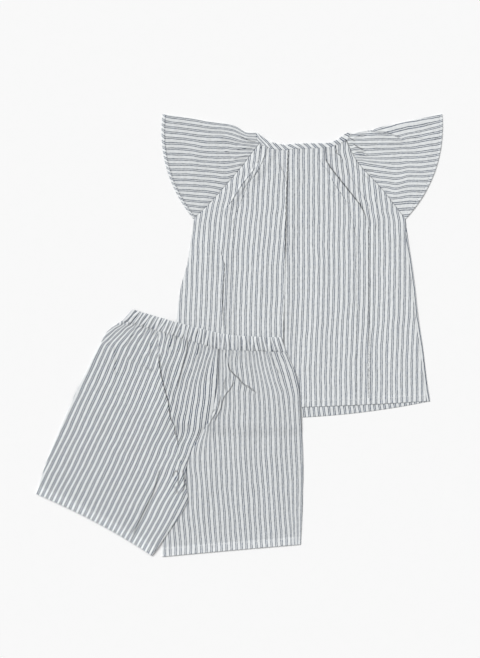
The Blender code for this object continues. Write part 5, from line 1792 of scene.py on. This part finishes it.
class PYJAMA_OT_shorts_legs(bpy.types.Operator):
    """Lay both legs of the shorts with their tucks, creases and hems"""

    bl_idname = "pyjama.shorts_legs"
    bl_label = "Shorts legs"

    def execute(self, context):
        # Each leg's copy of the poplin is darkened as painted shade.
        for name, sections, level, creases, side, finish, area in (
            ("left", LEFT_LEG, left_leg_under, LEFT_LEG_CREASES, -1, (0.96, 1.06, 1.05), 0.13),
            ("right", RIGHT_LEG, top_under, RIGHT_LEG_CREASES, 1, (0.94, 0.86), 0.11),
        ):
            cotton = finish_for(f"yarn-dyed poplin, {name} leg", striped_poplin, *finish)
            leg, hem = make_leg(f"shorts_{name}_leg", sections, level, creases, side, cotton)
            settle(leg, f"shorts_leg_{name}")
            stitches = hem_stitches(f"{name}_leg_hem_stitches", hem)
        return {"FINISHED"}


class PYJAMA_OT_waistband(bpy.types.Operator):
    """Gather the waist casing over its elastic"""

    bl_idname = "pyjama.waistband"
    bl_label = "Gathered waistband"

    def execute(self, context):
        # Its copy of the poplin is a little darker, as painted shade.
        piece = make_waistband(finish_for("yarn-dyed poplin, waistband", striped_poplin, 0.97, 0.8))
        settle(piece, "waistband")
        return {"FINISHED"}


class PYJAMA_OT_stage(bpy.types.Operator):
    """Lay the floor, and set the light and the camera"""

    bl_idname = "pyjama.stage"
    bl_label = "Floor, light and camera"

    def execute(self, context):
        settings = context.scene.pyjama_stage
        bpy.ops.object.select_all(action="DESELECT")
        bpy.ops.mesh.primitive_plane_add(size=FLOOR_SIZE)
        floor = context.object
        floor.name = "floor"
        floor.data.materials.append(painted_board("matt white board", settings.floor))
        world = bpy.data.worlds.new("even sky")
        world.use_nodes = True
        background = world.node_tree.nodes["Background"]
        background.inputs["Color"].default_value = (1.0, 1.0, 1.0, 1.0)
        background.inputs["Strength"].default_value = settings.sky
        context.scene.world = world
        bpy.ops.object.light_add(type="SUN", location=LAMP_PLACE)
        lamp = context.object
        lamp.name = "large soft light"
        lamp.data.energy = settings.lamp
        lamp.data.angle = settings.softness
        lamp.rotation_euler = (Vector((0.0, 0.0, 0.0)) - lamp.location).to_track_quat("-Z", "Y").to_euler()
        camera_data = bpy.data.cameras.new("overhead camera")
        camera = bpy.data.objects.new("overhead camera", camera_data)
        context.scene.collection.objects.link(camera)
        camera.location = (VIEW_CENTRE[0] * MM, VIEW_CENTRE[1] * MM, settings.height)
        camera.rotation_euler = (0.0, 0.0, 0.0)
        camera_data.sensor_fit = "VERTICAL"
        camera_data.sensor_height = SENSOR_HEIGHT
        camera_data.lens = SENSOR_HEIGHT * settings.height / (VIEW_HEIGHT * MM)
        camera_data.clip_end = 20.0
        context.scene.camera = camera
        context.scene.view_settings.view_transform = "Standard"
        return {"FINISHED"}


class PYJAMA_PT_panel(bpy.types.Panel):
    """The steps of the pyjama set, in order"""

    bl_idname = "PYJAMA_PT_panel"
    bl_label = "Pyjama set"
    bl_space_type = "VIEW_3D"
    bl_region_type = "UI"
    bl_category = "Pyjamas"

    def draw(self, context):
        layout = self.layout
        for settings in (context.scene.pyjama_cloth, context.scene.pyjama_stage):
            box = layout.box()
            for name in settings.bl_rna.properties.keys():
                if name not in ("rna_type", "name"):
                    box.prop(settings, name)
        for operator in OPERATORS:
            layout.operator(operator.bl_idname)


OPERATORS = (
    PYJAMA_OT_stage,
    PYJAMA_OT_top_back,
    PYJAMA_OT_top_front,
    PYJAMA_OT_sleeves,
    PYJAMA_OT_neck_binding,
    PYJAMA_OT_shorts_legs,
    PYJAMA_OT_waistband,
)
CLASSES = (ClothSettings, StageSettings, *OPERATORS, PYJAMA_PT_panel)


def register():
    """Adds the settings, the operators and the panel."""
    for cls in CLASSES:
        bpy.utils.register_class(cls)
    bpy.types.Scene.pyjama_cloth = PointerProperty(type=ClothSettings)
    bpy.types.Scene.pyjama_stage = PointerProperty(type=StageSettings)


def unregister():
    """Takes them away again."""
    del bpy.types.Scene.pyjama_stage
    del bpy.types.Scene.pyjama_cloth
    for cls in reversed(CLASSES):
        bpy.utils.unregister_class(cls)


def main():
    """Builds the set."""
    register()
    bpy.ops.pyjama.stage()
    bpy.ops.pyjama.top_back()
    bpy.ops.pyjama.top_front()
    bpy.ops.pyjama.sleeves()
    bpy.ops.pyjama.neck_binding()
    bpy.ops.pyjama.shorts_legs()
    bpy.ops.pyjama.waistband()
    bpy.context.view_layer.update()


if __name__ == "__main__":
    main()
